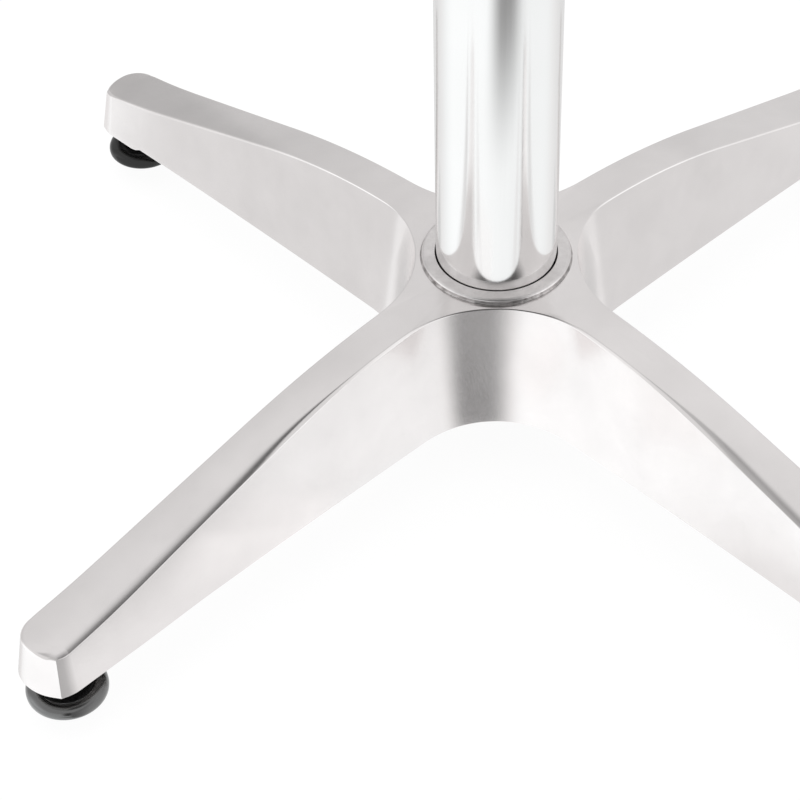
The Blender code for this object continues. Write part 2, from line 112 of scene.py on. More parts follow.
# an edge ground on one corner of each end: the turn and radius of the arcs before and after it
GROUND_CORNER = ((math.radians(72), 0.0060), (math.radians(34), 0.0130))
COLLAR_RADIUS = 0.0372
COLLAR_TOP = 0.0967
COLLAR_FILLET = 0.0007
COLLAR_SHOULDER = 0.0016
SHOULDER_STEPS = 5
COLLAR_ROUGHNESS = 0.00055        # depth of the ragged line where turning meets casting
COLLAR_RAGGED = (0.7, 0.2)        # its share on the two rings of the collar's foot
COLLAR_GRAIN = (700, 220)
# rings at the collar's foot that take the dark finish: painted shade in the crease, on a really ragged edge
RAGGED_SHADE_RINGS = 4
ROUND_MIDDLE = 0.3                # where the middle of a small rounding lies, as a share of it
SOCKET_RADIUS = 0.031
SOCKET_MOUTH = 0.0305
MOUTH_EDGE = 0.0002
MOUTH_DEPTH = 0.004
MOUTH_END = 0.005
SOCKET_FLOOR_TOP = 0.0767
SOCKET_FLOOR_UNDER = 0.0687
ROD_HOLE = 0.0055
WASHER_SEAT = 0.017
FOOT_CIRCLE = 0.2836
POCKET_FLATS = 0.0136
POCKET_DEPTH = 0.0071
BOSS_RADIUS = 0.01085
BOSS_RECESS = 0.0012
STUD_BORE = 0.0046
BOSS_STEPS = 48
SIDE_STEPS = 60
CORNER_STEPS = 14
ACROSS_STEPS = 8
THROAT_STEPS = 40
WALL_STEPS = 8
ROUND_STEPS = 8
FACET_STEPS = 3
RIDGE_STEPS = 4
HUB_STEPS = 4
SHARP_ANGLE = math.radians(28)
NOISE_LOW = 0.3                   # most of a noise's values lie between these two
NOISE_HIGH = 0.7
PINHOLE_START = 0.60
PINHOLE_FULL = 0.74
PINHOLE_GREY = (0.55, 0.54, 0.53, 1.0)
POLISHED, TURNED, AS_CAST, RAGGED_SHADE = range(4)   # places in the casting's row of finishes

# A spot on an outline: its place and normal in plan, how far out along its leg it lies, the leg,
# the side of the leg (1, -1, or 0 for the end) and how far across the leg it lies.
Spot = namedtuple("Spot", "place normal r leg side across")


def smooth_step(value, start, end):
    share = min(max((value - start) / (end - start), 0.0), 1.0)
    return share * share * (3 - 2 * share)


def leg_turn(index):
    """The legs stand on the diagonals, a quarter turn apart."""
    return math.radians(45 + 90 * index)


class Star:
    """Plan outline of a four-armed casting, with straight arms, round throats and rounded ends."""

    def __init__(self, hub_radius, root_half, taper, end, corner, ground_corner=None):
        lean = math.hypot(1.0, taper)
        spread = math.sqrt(2) * lean / (1 - taper) - 1
        throat = (hub_radius - math.sqrt(2) * root_half / (1 - taper)) / spread
        centre = (throat * lean + root_half) / (1 - taper)
        side_normal = Vector((-taper, 1.0)) / lean
        tilt = math.atan2(side_normal.y, side_normal.x)
        self.root = centre - side_normal.x * throat
        self.bisector = hub_radius / math.sqrt(2)

        def straight(last):
            """Points out along an arm's side, up to but without the last."""
            steps = [self.root + (last - self.root) * i / SIDE_STEPS for i in range(SIDE_STEPS)]
            return [(Vector((r, root_half + taper * r)), side_normal) for r in steps]

        def bow(start, radius, first_turn, last_turn, steps):
            """Points on an arc from start, whose normal turns from first_turn to last_turn."""
            first = Vector((math.cos(first_turn), math.sin(first_turn)))
            points = []
            for i in range(steps + 1):
                turn = first_turn + (last_turn - first_turn) * i / steps
                normal = Vector((math.cos(turn), math.sin(turn)))
                points.append((start + (normal - first) * radius, normal))
            return points

        turn_start = end - corner * (1 - math.cos(tilt))
        side = straight(turn_start)
        side += bow(Vector((turn_start, root_half + taper * turn_start)), corner, tilt, 0.0, CORNER_STEPS)
        mirrored = [(Vector((p.x, -p.y)), Vector((n.x, -n.y))) for p, n in side]
        tip = []
        for j in range(1, ACROSS_STEPS):
            tip.append((mirrored[-1][0].lerp(side[-1][0], j / ACROSS_STEPS), Vector((1.0, 0.0))))
        if ground_corner:
            (wall_turn, wall_radius), (end_turn, end_radius) = ground_corner
            turn_start = (end - end_radius * (1 - math.cos(end_turn))
                          - wall_radius * (math.cos(wall_turn) - math.cos(tilt)))
            side = straight(turn_start)
            side += bow(Vector((turn_start, root_half + taper * turn_start)), wall_radius, tilt, wall_turn,
                        CORNER_STEPS - 2)
            edge, wall_normal = side[-1]
            rounded_end = bow(edge, end_radius, end_turn, 0.0, ACROSS_STEPS - 1)
            end_normal = rounded_end[0][1]
            side.append((edge, (wall_normal + end_normal) / (1 + wall_normal.dot(end_normal))))
            side.append((edge, end_normal))
            tip = rounded_end[:0:-1]
        arc = []
        start = tilt + math.pi
        for i in range(1, THROAT_STEPS):
            turn = start + (2.5 * math.pi - 2 * start) * i / THROAT_STEPS
            inward = Vector((math.cos(turn), math.sin(turn)))
            arc.append((Vector((centre, centre)) + inward * throat, -inward))

        self.spots = []
        for index, leg in enumerate(LEGS):
            turn = Matrix.Rotation(leg_turn(index), 2)
            next_leg = LEGS[(index + 1) % len(LEGS)]
            near_arc = arc[:THROAT_STEPS // 2]
            far_arc = arc[THROAT_STEPS // 2:]
            for points, owner, which in ((mirrored, leg, -1), (tip, leg, 0), (side[::-1], leg, 1),
                                         (near_arc, leg, 1), (far_arc, next_leg, -1)):
                for point, normal in points:
                    along = max(abs(point.x), abs(point.y))
                    self.spots.append(Spot(turn @ point, turn @ normal, along, owner, which, point.y))
        self.side_count = len(side)
        self.leg_count = len(self.spots) // len(LEGS)

    def loop(self, shape, offset, height):
        """Vertices on the outline, moved out by offset(spot) and lifted to height(spot)."""
        verts = []
        for spot in self.spots:
            moved = spot.place + spot.normal * offset(spot)
            verts.append(shape.verts.new((moved.x, moved.y, height(spot))))
        return verts

    def fill(self, shape, loop, finish=0, crown=0.0):
        """Rows of faces across each arm. Gives the loop that is left round the hub."""
        boundary = []
        for leg in range(len(LEGS)):
            first = leg * self.leg_count
            tip_end = first + 2 * self.side_count + ACROSS_STEPS - 2
            rows = []
            for i in range(self.side_count - 1):
                near = loop[first + i]
                far = loop[tip_end - i]
                row = [near]
                for j in range(1, ACROSS_STEPS):
                    share = j / ACROSS_STEPS
                    point = near.co.lerp(far.co, share)
                    point.z += crown * (1 - (2 * share - 1) ** 2) * smooth_step(i, 0, CORNER_STEPS)
                    row.append(shape.verts.new(point))
                rows.append(row + [far])
            last = first + self.side_count - 1
            rows.append(loop[last:last + ACROSS_STEPS + 1])
            for lower, upper in zip(rows, rows[1:]):
                for j in range(ACROSS_STEPS):
                    face = shape.faces.new((lower[j], upper[j], upper[j + 1], lower[j + 1]))
                    face.material_index = finish
            boundary += rows[0] + loop[tip_end + 1:first + self.leg_count]
        return boundary


def join_loops(shape, lower, upper, finish=0):
    """Quads between two closed loops of as many vertices."""
    for i in range(len(lower)):
        j = (i + 1) % len(lower)
        face = shape.faces.new((lower[i], lower[j], upper[j], upper[i]))
        face.material_index = finish


def join_run(shape, loops, finish=0):
    for lower, upper in zip(loops, loops[1:]):
        join_loops(shape, lower, upper, finish)


def ring_towards(shape, boundary, radius, height):
    """A round loop with one vertex in line with each vertex of a boundary."""
    verts = []
    for vert in boundary:
        flat = Vector((vert.co.x, vert.co.y)).normalized() * radius
        verts.append(shape.verts.new((flat.x, flat.y, height)))
    return verts


def make_piece(name, shape, finishes):
    bmesh.ops.recalc_face_normals(shape, faces=shape.faces)
    mesh = bpy.data.meshes.new(name)
    shape.to_mesh(mesh)
    shape.free()
    mesh.shade_smooth()
    mesh.set_sharp_from_angle(angle=SHARP_ANGLE)
    for finish in finishes:
        mesh.materials.append(finish)
    piece = bpy.data.objects.new(name, mesh)
    bpy.context.collection.objects.link(piece)
    return piece


def carve(piece, tools, operation):
    """Join or cut a piece with closed tool pieces, which are used up."""
    for tool in tools:
        step = piece.modifiers.new("carve", "BOOLEAN")
        step.operation = operation
        step.solver = "EXACT"
        step.object = tool
    view = bpy.context.evaluated_depsgraph_get()
    carved = bpy.data.meshes.new_from_object(piece.evaluated_get(view))
    piece.modifiers.clear()
    piece.data = carved
    for tool in tools:
        bpy.data.objects.remove(tool, do_unlink=True)


def even_shading(piece):
    """Keeps flat faces flat beside small roundings."""
    piece.data.set_sharp_from_angle(angle=SHARP_ANGLE)
    step = piece.modifiers.new("even_shading", "WEIGHTED_NORMAL")
    step.keep_sharp = True


def dress(piece, body, slot, *nodes):
    """The piece rides on its body and stands for its solids."""
    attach(piece, body)
    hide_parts(*nodes)
    return piece


def feed(tree, socket, value):
    """A link into a socket, or a plain value for it."""
    if isinstance(value, bpy.types.NodeSocket):
        tree.links.new(value, socket)
    else:
        socket.default_value = value


def put(tree, kind, settings=None, **inputs):
    """A shader node with its settings, and values or links for its inputs."""
    item = tree.nodes.new(kind)
    for key, value in (settings or {}).items():
        setattr(item, key, value)
    for key, value in inputs.items():
        feed(tree, item.inputs[key.replace("_", " ")], value)
    return item


def join_nodes(tree, operation, first, second):
    """The output of a sum, a product or the like of two values or links."""
    item = put(tree, "ShaderNodeMath", {"operation": operation})
    feed(tree, item.inputs[0], first)
    feed(tree, item.inputs[1], second)
    return item.outputs["Value"]


def spread_out(tree, value, low=0.0, high=1.0):
    """A noise stretched to run from low to high."""
    item = put(tree, "ShaderNodeMapRange", Value=value, From_Min=NOISE_LOW, From_Max=NOISE_HIGH,
               To_Min=low, To_Max=high)
    return item.outputs["Result"]


def new_material(name):
    material = bpy.data.materials.new(name)
    material.use_nodes = True
    return material, material.node_tree


def polish_marks_group():
    """Marks that finishing leaves on metal: fine streaks along one way, broad clouds, and pinholes."""
    group = bpy.data.node_groups.new("polish_marks", "ShaderNodeTree")
    for name, kind in (("Stretch", "NodeSocketVector"), ("Fineness", "NodeSocketFloat"),
                       ("Cloud Fineness", "NodeSocketFloat"), ("Pinhole Fineness", "NodeSocketFloat")):
        group.interface.new_socket(name=name, in_out="INPUT", socket_type=kind)
    for name in ("Streaks", "Clouds", "Pinholes"):
        group.interface.new_socket(name=name, in_out="OUTPUT", socket_type="NodeSocketFloat")
    given = group.nodes.new("NodeGroupInput").outputs
    result = group.nodes.new("NodeGroupOutput").inputs
    place = put(group, "ShaderNodeTexCoord").outputs["Object"]
    along = put(group, "ShaderNodeVectorMath", {"operation": "MULTIPLY"})
    group.links.new(place, along.inputs[0])
    group.links.new(given["Stretch"], along.inputs[1])
    streaks = put(group, "ShaderNodeTexNoise", Vector=along.outputs["Vector"],
                  Scale=given["Fineness"], Detail=4.0, Roughness=0.6)
    clouds = put(group, "ShaderNodeTexNoise", Vector=place,
                 Scale=given["Cloud Fineness"], Detail=3.0, Roughness=0.55)
    holes = put(group, "ShaderNodeTexNoise", Vector=place,
                Scale=given["Pinhole Fineness"], Detail=2.0, Roughness=0.5)
    spread = put(group, "ShaderNodeMapRange", Value=holes.outputs["Fac"],
                 From_Min=PINHOLE_START, From_Max=PINHOLE_FULL)
    group.links.new(streaks.outputs["Fac"], result["Streaks"])
    group.links.new(clouds.outputs["Fac"], result["Clouds"])
    group.links.new(spread.outputs["Result"], result["Pinholes"])
    return group


polish_marks = polish_marks_group()


def metal(name, bright, dull, gloss, fineness, clouds, pinholes, relief, pits, stretch=(1.0, 1.0, 1.0)):
    """A metal finish: colour drifts with the clouds, and gloss and relief follow the streaks.

    Gloss is the roughness at either end, and pits the share of the pinholes that shows.
    """
    material, tree = new_material(name)
    shader = tree.nodes["Principled BSDF"].inputs
    shader["Metallic"].default_value = 1.0
    marks = put(tree, "ShaderNodeGroup", {"node_tree": polish_marks}, Stretch=stretch, Fineness=fineness,
                Cloud_Fineness=clouds, Pinhole_Fineness=pinholes).outputs
    colour = put(tree, "ShaderNodeMix", {"data_type": "RGBA"}, Factor=spread_out(tree, marks["Clouds"]),
                 A=(*dull, 1.0), B=(*bright, 1.0))
    share = join_nodes(tree, "MULTIPLY", marks["Pinholes"], pits)
    spots = put(tree, "ShaderNodeMix", {"data_type": "RGBA", "blend_type": "MULTIPLY"}, Factor=share,
                A=colour.outputs["Result"], B=PINHOLE_GREY)
    height = join_nodes(tree, "SUBTRACT", marks["Streaks"], share)
    bump = put(tree, "ShaderNodeBump", Strength=1.0, Distance=relief, Height=height)
    tree.links.new(spots.outputs["Result"], shader["Base Color"])
    tree.links.new(spread_out(tree, marks["Streaks"], *gloss), shader["Roughness"])
    tree.links.new(bump.outputs["Normal"], shader["Normal"])
    return material


def leg_top(spot):
    """Level at the hub, then a bend, a straight fall, and an easing end."""
    tip = LEG_REACH - (LEG_TIP_TOP - RIM_AT_TIP) * DRAFT
    bend = BEND_END - BEND_START
    ease = tip - EASE_START
    run = bend / 2 + EASE_START - BEND_END + ease * (1 + EASE_SHARE) / 2
    slope = (HUB_TOP - LEG_TIP_TOP) / run
    in_bend = min(max(spot.r - BEND_START, 0.0), bend)
    in_straight = max(spot.r - BEND_END, 0.0)
    in_ease = max(spot.r - EASE_START, 0.0)
    fall = in_bend ** 2 / (2 * bend) + in_straight - (1 - EASE_SHARE) * in_ease ** 2 / (2 * ease)
    return HUB_TOP - slope * fall


def leg_rim(spot):
    """The lower edge arches up towards the hub, and hangs lower near the ends of two legs."""
    arch = RIM_UNDER_HUB - (RIM_UNDER_HUB - RIM_AT_TIP) * (spot.r / LEG_REACH) ** 2
    if spot.leg in SAGS:
        depth, start, step = SAGS[spot.leg]
        arch -= depth * smooth_step(spot.r, start, start + step)
    return arch


def drafted(height):
    return (HUB_TOP - height) * DRAFT


def wave(spot, height):
    return WAVE_DEPTH * noise.noise(Vector((*spot.place, height)) / WAVE_LENGTH)


def top_edge(spot):
    """Points down a top edge, out and down from where the top ends: rounding, facet and ridge."""
    round_root, round_leg = EDGE_ROUND
    facet_root, facet_leg = EDGE_FACET
    growth = EDGE_GROWTH
    facet_lean = FACET_LEAN
    worn = spot.leg == WORN_CORNER and spot.side >= 0
    ground = (spot.leg, spot.side) in GROUND_EDGES or worn
    if ground:
        round_leg = GROUND_ROUND
        facet_root, facet_leg = GROUND_FACET
        growth = GROUND_GROWTH
    share = smooth_step(spot.r, *growth)
    at_end = smooth_step(spot.r, *END_GROWTH[spot.side])
    if worn:
        at_end *= (1 - smooth_step(spot.across, *CORNER_RUN)) * (spot.side == 0)
    if ground:
        facet_lean += (GROUND_LEAN - FACET_LEAN) * share * (1 - at_end)
    faded = FACET_FADE_SHARE * smooth_step(spot.r, *FACET_FADE)
    shown = smooth_step(spot.r, *FACET_START) * (1 - faded) * (1 - at_end)
    radius = round_root + (round_leg - round_root) * share
    radius += (END_ROUND[0] - radius) * at_end
    ridge = RIDGE_RADIUS + (END_ROUND[1] - RIDGE_RADIUS) * at_end
    facet = (facet_root + (facet_leg - facet_root) * share) * shown
    points = []
    for i in range(ROUND_STEPS + 1):
        lean = facet_lean * i / ROUND_STEPS
        points.append((radius * math.sin(lean), radius * (1 - math.cos(lean))))
    out, down = points[-1]
    for i in range(1, FACET_STEPS + 1):
        along = facet * i / FACET_STEPS
        points.append((out + along * math.cos(facet_lean), down + along * math.sin(facet_lean)))
    out, down = points[-1]
    for i in range(1, RIDGE_STEPS + 1):
        lean = facet_lean + (WALL_LEAN - facet_lean) * i / RIDGE_STEPS
        points.append((out + ridge * (math.sin(lean) - math.sin(facet_lean)),
                       down + ridge * (math.cos(facet_lean) - math.cos(lean))))
    return points


def side_top(spot):
    return leg_top(spot) - top_edge(spot)[-1][1]


def casting_outside(shape, star):
    """Rim, drafted side and rounded top edge, from the bottom up."""
    loops = []
    middle = ROUND_MIDDLE * RIM_ROUND
    for inset, lift in ((RIM_ROUND, 0.0), (middle, middle)):
        loops.append(star.loop(shape, lambda s: drafted(leg_rim(s)) - inset, lambda s: leg_rim(s) + lift))
    for i in range(WALL_STEPS + 1):
        def height(spot):
            low = leg_rim(spot) + RIM_ROUND
            return low + (side_top(spot) - low) * i / WALL_STEPS

        def offset(spot):
            swell = 4 * i * (WALL_STEPS - i) / WALL_STEPS ** 2
            return drafted(height(spot)) + wave(spot, height(spot)) * swell

        loops.append(star.loop(shape, offset, height))
    for i in reversed(range(ROUND_STEPS + FACET_STEPS + RIDGE_STEPS)):
        loops.append(star.loop(
            shape,
            lambda s: drafted(side_top(s)) - top_edge(s)[-1][0] + top_edge(s)[i][0],
            lambda s: leg_top(s) - top_edge(s)[i][1],
        ))
    join_run(shape, loops)
    return loops[0], loops[-1]


def casting_socket(shape, boundary):
    """From the hub's top over the turned collar, down the socket and out to the washer's seat."""
    loops = [boundary]
    base = COLLAR_RADIUS + COLLAR_FILLET
    for i in range(1, HUB_STEPS + 1):
        ring = ring_towards(shape, boundary, base, HUB_TOP)
        for vert, edge in zip(ring, boundary):
            vert.co = edge.co.lerp(vert.co, i / HUB_STEPS)
        loops.append(ring)
    join_run(shape, loops)
    shoulder = COLLAR_TOP - COLLAR_SHOULDER
    middle = ROUND_MIDDLE * COLLAR_FILLET
    collar = [
        (COLLAR_RADIUS + middle, HUB_TOP + middle, COLLAR_RAGGED[0]),
        (COLLAR_RADIUS, HUB_TOP + COLLAR_FILLET, COLLAR_RAGGED[1]),
    ]
    for i in range(1, SHOULDER_STEPS + 1):
        lean = math.pi / 2 * i / SHOULDER_STEPS
        collar.append((COLLAR_RADIUS - COLLAR_SHOULDER * (1 - math.cos(lean)),
                       shoulder + COLLAR_SHOULDER * math.sin(lean), 0.0))
    collar += [
        (SOCKET_MOUTH + MOUTH_EDGE, COLLAR_TOP, 0.0),
        (SOCKET_MOUTH, COLLAR_TOP - MOUTH_EDGE, 0.0),
        (SOCKET_MOUTH, COLLAR_TOP - MOUTH_DEPTH, 0.0),
        (SOCKET_RADIUS, COLLAR_TOP - MOUTH_END, 0.0),
        (SOCKET_RADIUS, SOCKET_FLOOR_TOP, 0.0),
        (ROD_HOLE, SOCKET_FLOOR_TOP, 0.0),
        (ROD_HOLE, SOCKET_FLOOR_UNDER, 0.0),
        (WASHER_SEAT, SOCKET_FLOOR_UNDER, 0.0),
    ]
    rings = [loops[-1]]
    for radius, height, rough in collar:
        ring = ring_towards(shape, boundary, radius, height)
        for vert in ring:
            grain = sum(noise.noise(vert.co * fineness) for fineness in COLLAR_GRAIN)
            flat = Vector((vert.co.x, vert.co.y, 0)).normalized()
            vert.co += flat * grain * rough * COLLAR_ROUGHNESS
        rings.append(ring)
    # the collar's ragged foot is coloured dark, painted shade in the crease, and the rest is turned
    join_run(shape, rings[:RAGGED_SHADE_RINGS], RAGGED_SHADE)
    join_run(shape, rings[RAGGED_SHADE_RINGS - 1:], TURNED)
    return rings[-1]


def casting_inside(shape, star, outer_rim, seat):
    """The hollow that the sand core left: inner walls, ceiling and the flat under the socket."""
    def ceiling(spot):
        roof = leg_top(spot._replace(r=max(spot.r, star.root))) - ROOF
        share = min(max((spot.r - star.bisector) / (star.root - star.bisector), 0.0), 1.0)
        return SOCKET_FLOOR_UNDER + (roof - SOCKET_FLOOR_UNDER) * share

    loops = [outer_rim]
    edge = RIM_ROUND / 2
    loops.append(star.loop(shape, lambda s: drafted(leg_rim(s)) - WALL + edge, leg_rim))
    for share in (0.0, 0.5, 1.0):
        def height(spot):
            low = leg_rim(spot) + edge
            return low + (ceiling(spot) - CEILING_FILLET - low) * share

        loops.append(star.loop(shape, lambda s: drafted(height(s)) - WALL, height))
    for inset, drop in ((ROUND_MIDDLE, ROUND_MIDDLE), (1.0, 0.0)):
        loops.append(star.loop(
            shape,
            lambda s: drafted(ceiling(s)) - WALL - inset * CEILING_FILLET,
            lambda s: ceiling(s) - drop * CEILING_FILLET,
        ))
    join_run(shape, loops, AS_CAST)
    boundary = star.fill(shape, loops[-1], AS_CAST)
    reach = [boundary]
    for i in range(1, HUB_STEPS):
        ring = ring_towards(shape, boundary, WASHER_SEAT, SOCKET_FLOOR_UNDER)
        for vert, far in zip(ring, boundary):
            vert.co = far.co.lerp(vert.co, i / HUB_STEPS)
        reach.append(ring)
    join_run(shape, reach + [seat], AS_CAST)


def circle(radius, height, count):
    turns = [2 * math.pi * i / count for i in range(count)]
    return [Vector((radius * math.cos(t), radius * math.sin(t), height)) for t in turns]


def circles(profile, count):
    return [circle(radius, height, count) for radius, height in profile]


def hexagon_reach(flats, turn):
    """Distance from a hexagon's middle to its outline, in the direction turn."""
    return flats / 2 / math.cos(turn % (math.pi / 3) - math.pi / 6)


def lofted(loops, ring=False, finish=0):
    """A closed body through a run of point loops: capped at both ends, or joined into a ring."""
    shape = bmesh.new()
    runs = [[shape.verts.new(point) for point in loop] for loop in loops]
    join_run(shape, runs, finish)
    if ring:
        join_loops(shape, runs[-1], runs[0], finish)
    else:
        for cap in (runs[0], runs[-1]):
            shape.faces.new(cap).material_index = finish
    return shape


def foot_boss_tools(finishes):
    """Solid bosses over the feet, and the hexagon pockets and stud bores that are cut in them."""
    bosses = []
    pockets = []
    tip_spot = Spot(Vector((FOOT_CIRCLE, 0)), Vector((1, 0)), FOOT_CIRCLE, LEGS[0], 0, 0.0)
    face = leg_rim(tip_spot) + BOSS_RECESS
    roof = leg_top(tip_spot) - ROOF
    pocket_top = face + POCKET_DEPTH
    for index, leg in enumerate(LEGS):
        turn = leg_turn(index)
        arm = Vector((math.cos(turn), math.sin(turn), 0))
        axis = arm * FOOT_CIRCLE
        top = []
        for point in circle(BOSS_RADIUS, 0, BOSS_STEPS):
            spot = tip_spot._replace(r=FOOT_CIRCLE + point.dot(arm))
            top.append(axis + point + Vector((0, 0, leg_top(spot) - ROOF / 2)))
        low = [axis + point for point in circle(BOSS_RADIUS, face, BOSS_STEPS)]
        bosses.append(make_piece("boss_tool_" + leg, lofted([low, top], finish=AS_CAST), finishes))
        outline = []
        for point in circle(1.0, 0, BOSS_STEPS):
            outline.append(point * hexagon_reach(POCKET_FLATS, math.atan2(point.y, point.x)))
        loops = []
        for height in (face - POCKET_DEPTH, pocket_top):
            loops.append([axis + point + Vector((0, 0, height)) for point in outline])
        for height in (pocket_top, roof):
            loops.append([axis + point for point in circle(STUD_BORE, height, BOSS_STEPS)])
        pockets.append(make_piece("pocket_tool_" + leg, lofted(loops, finish=AS_CAST), finishes))
    return bosses, pockets


satin_polish = metal("satin_cast_aluminium", bright=(0.935, 0.902, 0.897), dull=(0.865, 0.834, 0.829),
                     gloss=(0.15, 0.22), fineness=2300.0, clouds=26.0, pinholes=420.0,
                     relief=0.000013, pits=0.04, stretch=(1.0, 1.0, 0.35))
turned_collar = metal("turned_collar_aluminium", bright=(0.88, 0.85, 0.845), dull=(0.74, 0.713, 0.708),
                      gloss=(0.27, 0.38), fineness=1300.0, clouds=150.0, pinholes=900.0,
                      relief=0.000018, pits=0.25)
as_cast = metal("as_cast_aluminium", bright=(0.60, 0.58, 0.57), dull=(0.50, 0.483, 0.475),
                gloss=(0.48, 0.66), fineness=620.0, clouds=60.0, pinholes=380.0, relief=0.00022, pits=0.6)
# dark strip at the collar's foot: a real ragged edge, coloured darker as painted shade in the crease
ragged_shaded_strip = metal("ragged_collar_foot_shade", bright=(0.72, 0.69, 0.685), dull=(0.30, 0.288, 0.283),
                     gloss=(0.30, 0.46), fineness=900.0, clouds=210.0, pinholes=650.0,
                     relief=0.00008, pits=0.8)

leg_end = LEG_REACH - drafted(RIM_AT_TIP)
leg_taper = (LEG_TIP_WIDTH / 2 - drafted(LEG_TIP_TOP) - LEG_ROOT_WIDTH / 2) / leg_end
casting_star = Star(HUB_RADIUS, LEG_ROOT_WIDTH / 2, leg_taper, leg_end,
                    TIP_CORNER - drafted(LEG_TIP_TOP), GROUND_CORNER)
casting_shape = bmesh.new()
casting_rim, casting_top = casting_outside(casting_shape, casting_star)
casting_hub = casting_star.fill(casting_shape, casting_top, POLISHED, TOP_CROWN)
washer_seat = casting_socket(casting_shape, casting_hub)
casting_inside(casting_shape, casting_star, casting_rim, washer_seat)
casting_finishes = (satin_polish, turned_collar, as_cast, ragged_shaded_strip)
casting = make_piece("casting_polished", casting_shape, casting_finishes)
foot_bosses, foot_pockets = foot_boss_tools(casting_finishes)
carve(casting, foot_bosses, "UNION")
carve(casting, foot_pockets, "DIFFERENCE")
even_shading(casting)
dress(casting, "base", "cast_aluminium", "base_casting")


# Column: a drawn aluminium tube, polished along its length, that stands in the socket of the casting.
# The tie rod inside pulls it down, so it needs no screws of its own.
COLUMN_WALL = 0.002
COLUMN_CHAMFER = 0.0004
COLUMN_STEPS = 160


def turned(profile, count):
    """A body turned from a closed profile of radius and height, with a hole through its middle."""
    return lofted(circles(profile, count), ring=True)


column_low, column_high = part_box("column_tube")
column_radius = column_high.x
column_bore = column_radius - COLUMN_WALL
polished_tube = metal("polished_tube_aluminium", bright=(0.890, 0.882, 0.878), dull=(0.865, 0.857, 0.853),
                      gloss=(0.10, 0.15), fineness=1400.0, clouds=14.0, pinholes=500.0,
                      relief=0.0000020, pits=0.0, stretch=(1.0, 1.0, 0.004))
column_profile = [
    (column_radius - COLUMN_CHAMFER, column_low.z),
    (column_radius, column_low.z + COLUMN_CHAMFER),
    (column_radius, column_high.z - COLUMN_CHAMFER),
    (column_radius - COLUMN_CHAMFER, column_high.z),
    (column_bore + COLUMN_CHAMFER, column_high.z),
    (column_bore, column_high.z - COLUMN_CHAMFER),
    (column_bore, column_low.z + COLUMN_CHAMFER),
    (column_bore + COLUMN_CHAMFER, column_low.z),
]
column = make_piece("column_polished", turned(column_profile, COLUMN_STEPS), (polished_tube,))
dress(column, "base", "polished_aluminium", "column_tube")


# Foot pads: black plastic mouldings that clip round the heads of the levelling studs.
# The sole is flat with a shallow ring moulded in, the side rounds over to the top, and the top is dished.
# All four are black; the front left one has a stronger clear coat than the other three, a painted sheen for
# the brighter reflections it shows.
PAD_TRIM = 0.0003
PAD_SOLE_RADIUS = 0.0160
PAD_TOP_RADIUS = 0.0138
PAD_SIDE_LOW = 0.0026
PAD_SIDE_HIGH = 0.0032
PAD_DISH = 0.0010
PAD_DISH_POWER = 1.5
PAD_HUB_RADIUS = 0.0078
PAD_HEAD_BORE = 0.0068
PAD_NECK_BORE = 0.0043
PAD_LEDGE = 0.0033
SOLE_RING_RADIUS = 0.0115
SOLE_RING_WIDTH = 0.0012
SOLE_RING_DEPTH = 0.0004
# the pad with the stronger coat, a painted sheen
SHEEN_LIT_PAD = "front_left"
COAT_ROUGHNESS = 0.12
COAT_IOR = 2.0
PLASTIC_RELIEF = 0.000012
PAD_STEPS = 96
PAD_ARC_STEPS = 8


def moulded_plastic(name, shade, bloom, gloss, coat):
    """Moulded plastic: a faint grey bloom, fine flow marks and an uneven shine under a clear coat."""
    material, tree = new_material(name)
    shader = tree.nodes["Principled BSDF"].inputs
    shader["Specular IOR Level"].default_value = coat
    shader["Coat Weight"].default_value = coat
    shader["Coat Roughness"].default_value = COAT_ROUGHNESS
    shader["Coat IOR"].default_value = COAT_IOR
    marks = put(tree, "ShaderNodeGroup", {"node_tree": polish_marks}, Stretch=(1.0, 1.0, 1.0),
                Fineness=700.0, Cloud_Fineness=90.0, Pinhole_Fineness=1500.0).outputs
    tint = put(tree, "ShaderNodeMix", {"data_type": "RGBA"}, Factor=marks["Clouds"],
               A=(shade, shade, shade, 1.0), B=(bloom, bloom, bloom, 1.0))
    bump = put(tree, "ShaderNodeBump", Strength=1.0, Distance=PLASTIC_RELIEF, Height=marks["Streaks"])
    tree.links.new(tint.outputs["Result"], shader["Base Color"])
    tree.links.new(spread_out(tree, marks["Clouds"], *gloss), shader["Roughness"])
    tree.links.new(bump.outputs["Normal"], shader["Normal"])
    return material


def pad_profile(radius, height):
    """The pad's section from the head's hole, by sole, side and dished top, to the neck's hole."""
    profile = [(PAD_HEAD_BORE, 0.0), (SOLE_RING_RADIUS - SOLE_RING_WIDTH, 0.0)]
    for share in (0.25, 0.5, 0.75):
        sink = SOLE_RING_DEPTH * math.sin(math.pi * share)
        profile.append((SOLE_RING_RADIUS + SOLE_RING_WIDTH * (2 * share - 1), sink))
    profile.append((SOLE_RING_RADIUS + SOLE_RING_WIDTH, 0.0))
    for i in range(PAD_ARC_STEPS + 1):
        turn = math.pi / 2 * i / PAD_ARC_STEPS
        reach = PAD_SOLE_RADIUS + (radius - PAD_SOLE_RADIUS) * math.sin(turn)
        profile.append((reach, PAD_SIDE_LOW * (1 - math.cos(turn))))
    for i in range(PAD_ARC_STEPS + 1):
        turn = math.pi / 2 * i / PAD_ARC_STEPS
        reach = PAD_TOP_RADIUS + (radius - PAD_TOP_RADIUS) * math.cos(turn)
        profile.append((reach, PAD_SIDE_HIGH + (height - PAD_SIDE_HIGH) * math.sin(turn)))
    for i in range(1, PAD_ARC_STEPS + 1):
        share = i / PAD_ARC_STEPS
        reach = PAD_TOP_RADIUS + (PAD_HUB_RADIUS - PAD_TOP_RADIUS) * share
        profile.append((reach, height - PAD_DISH * math.sin(math.pi * share) ** PAD_DISH_POWER))
    profile += [(PAD_NECK_BORE, height), (PAD_NECK_BORE, PAD_LEDGE), (PAD_HEAD_BORE, PAD_LEDGE)]
    return profile
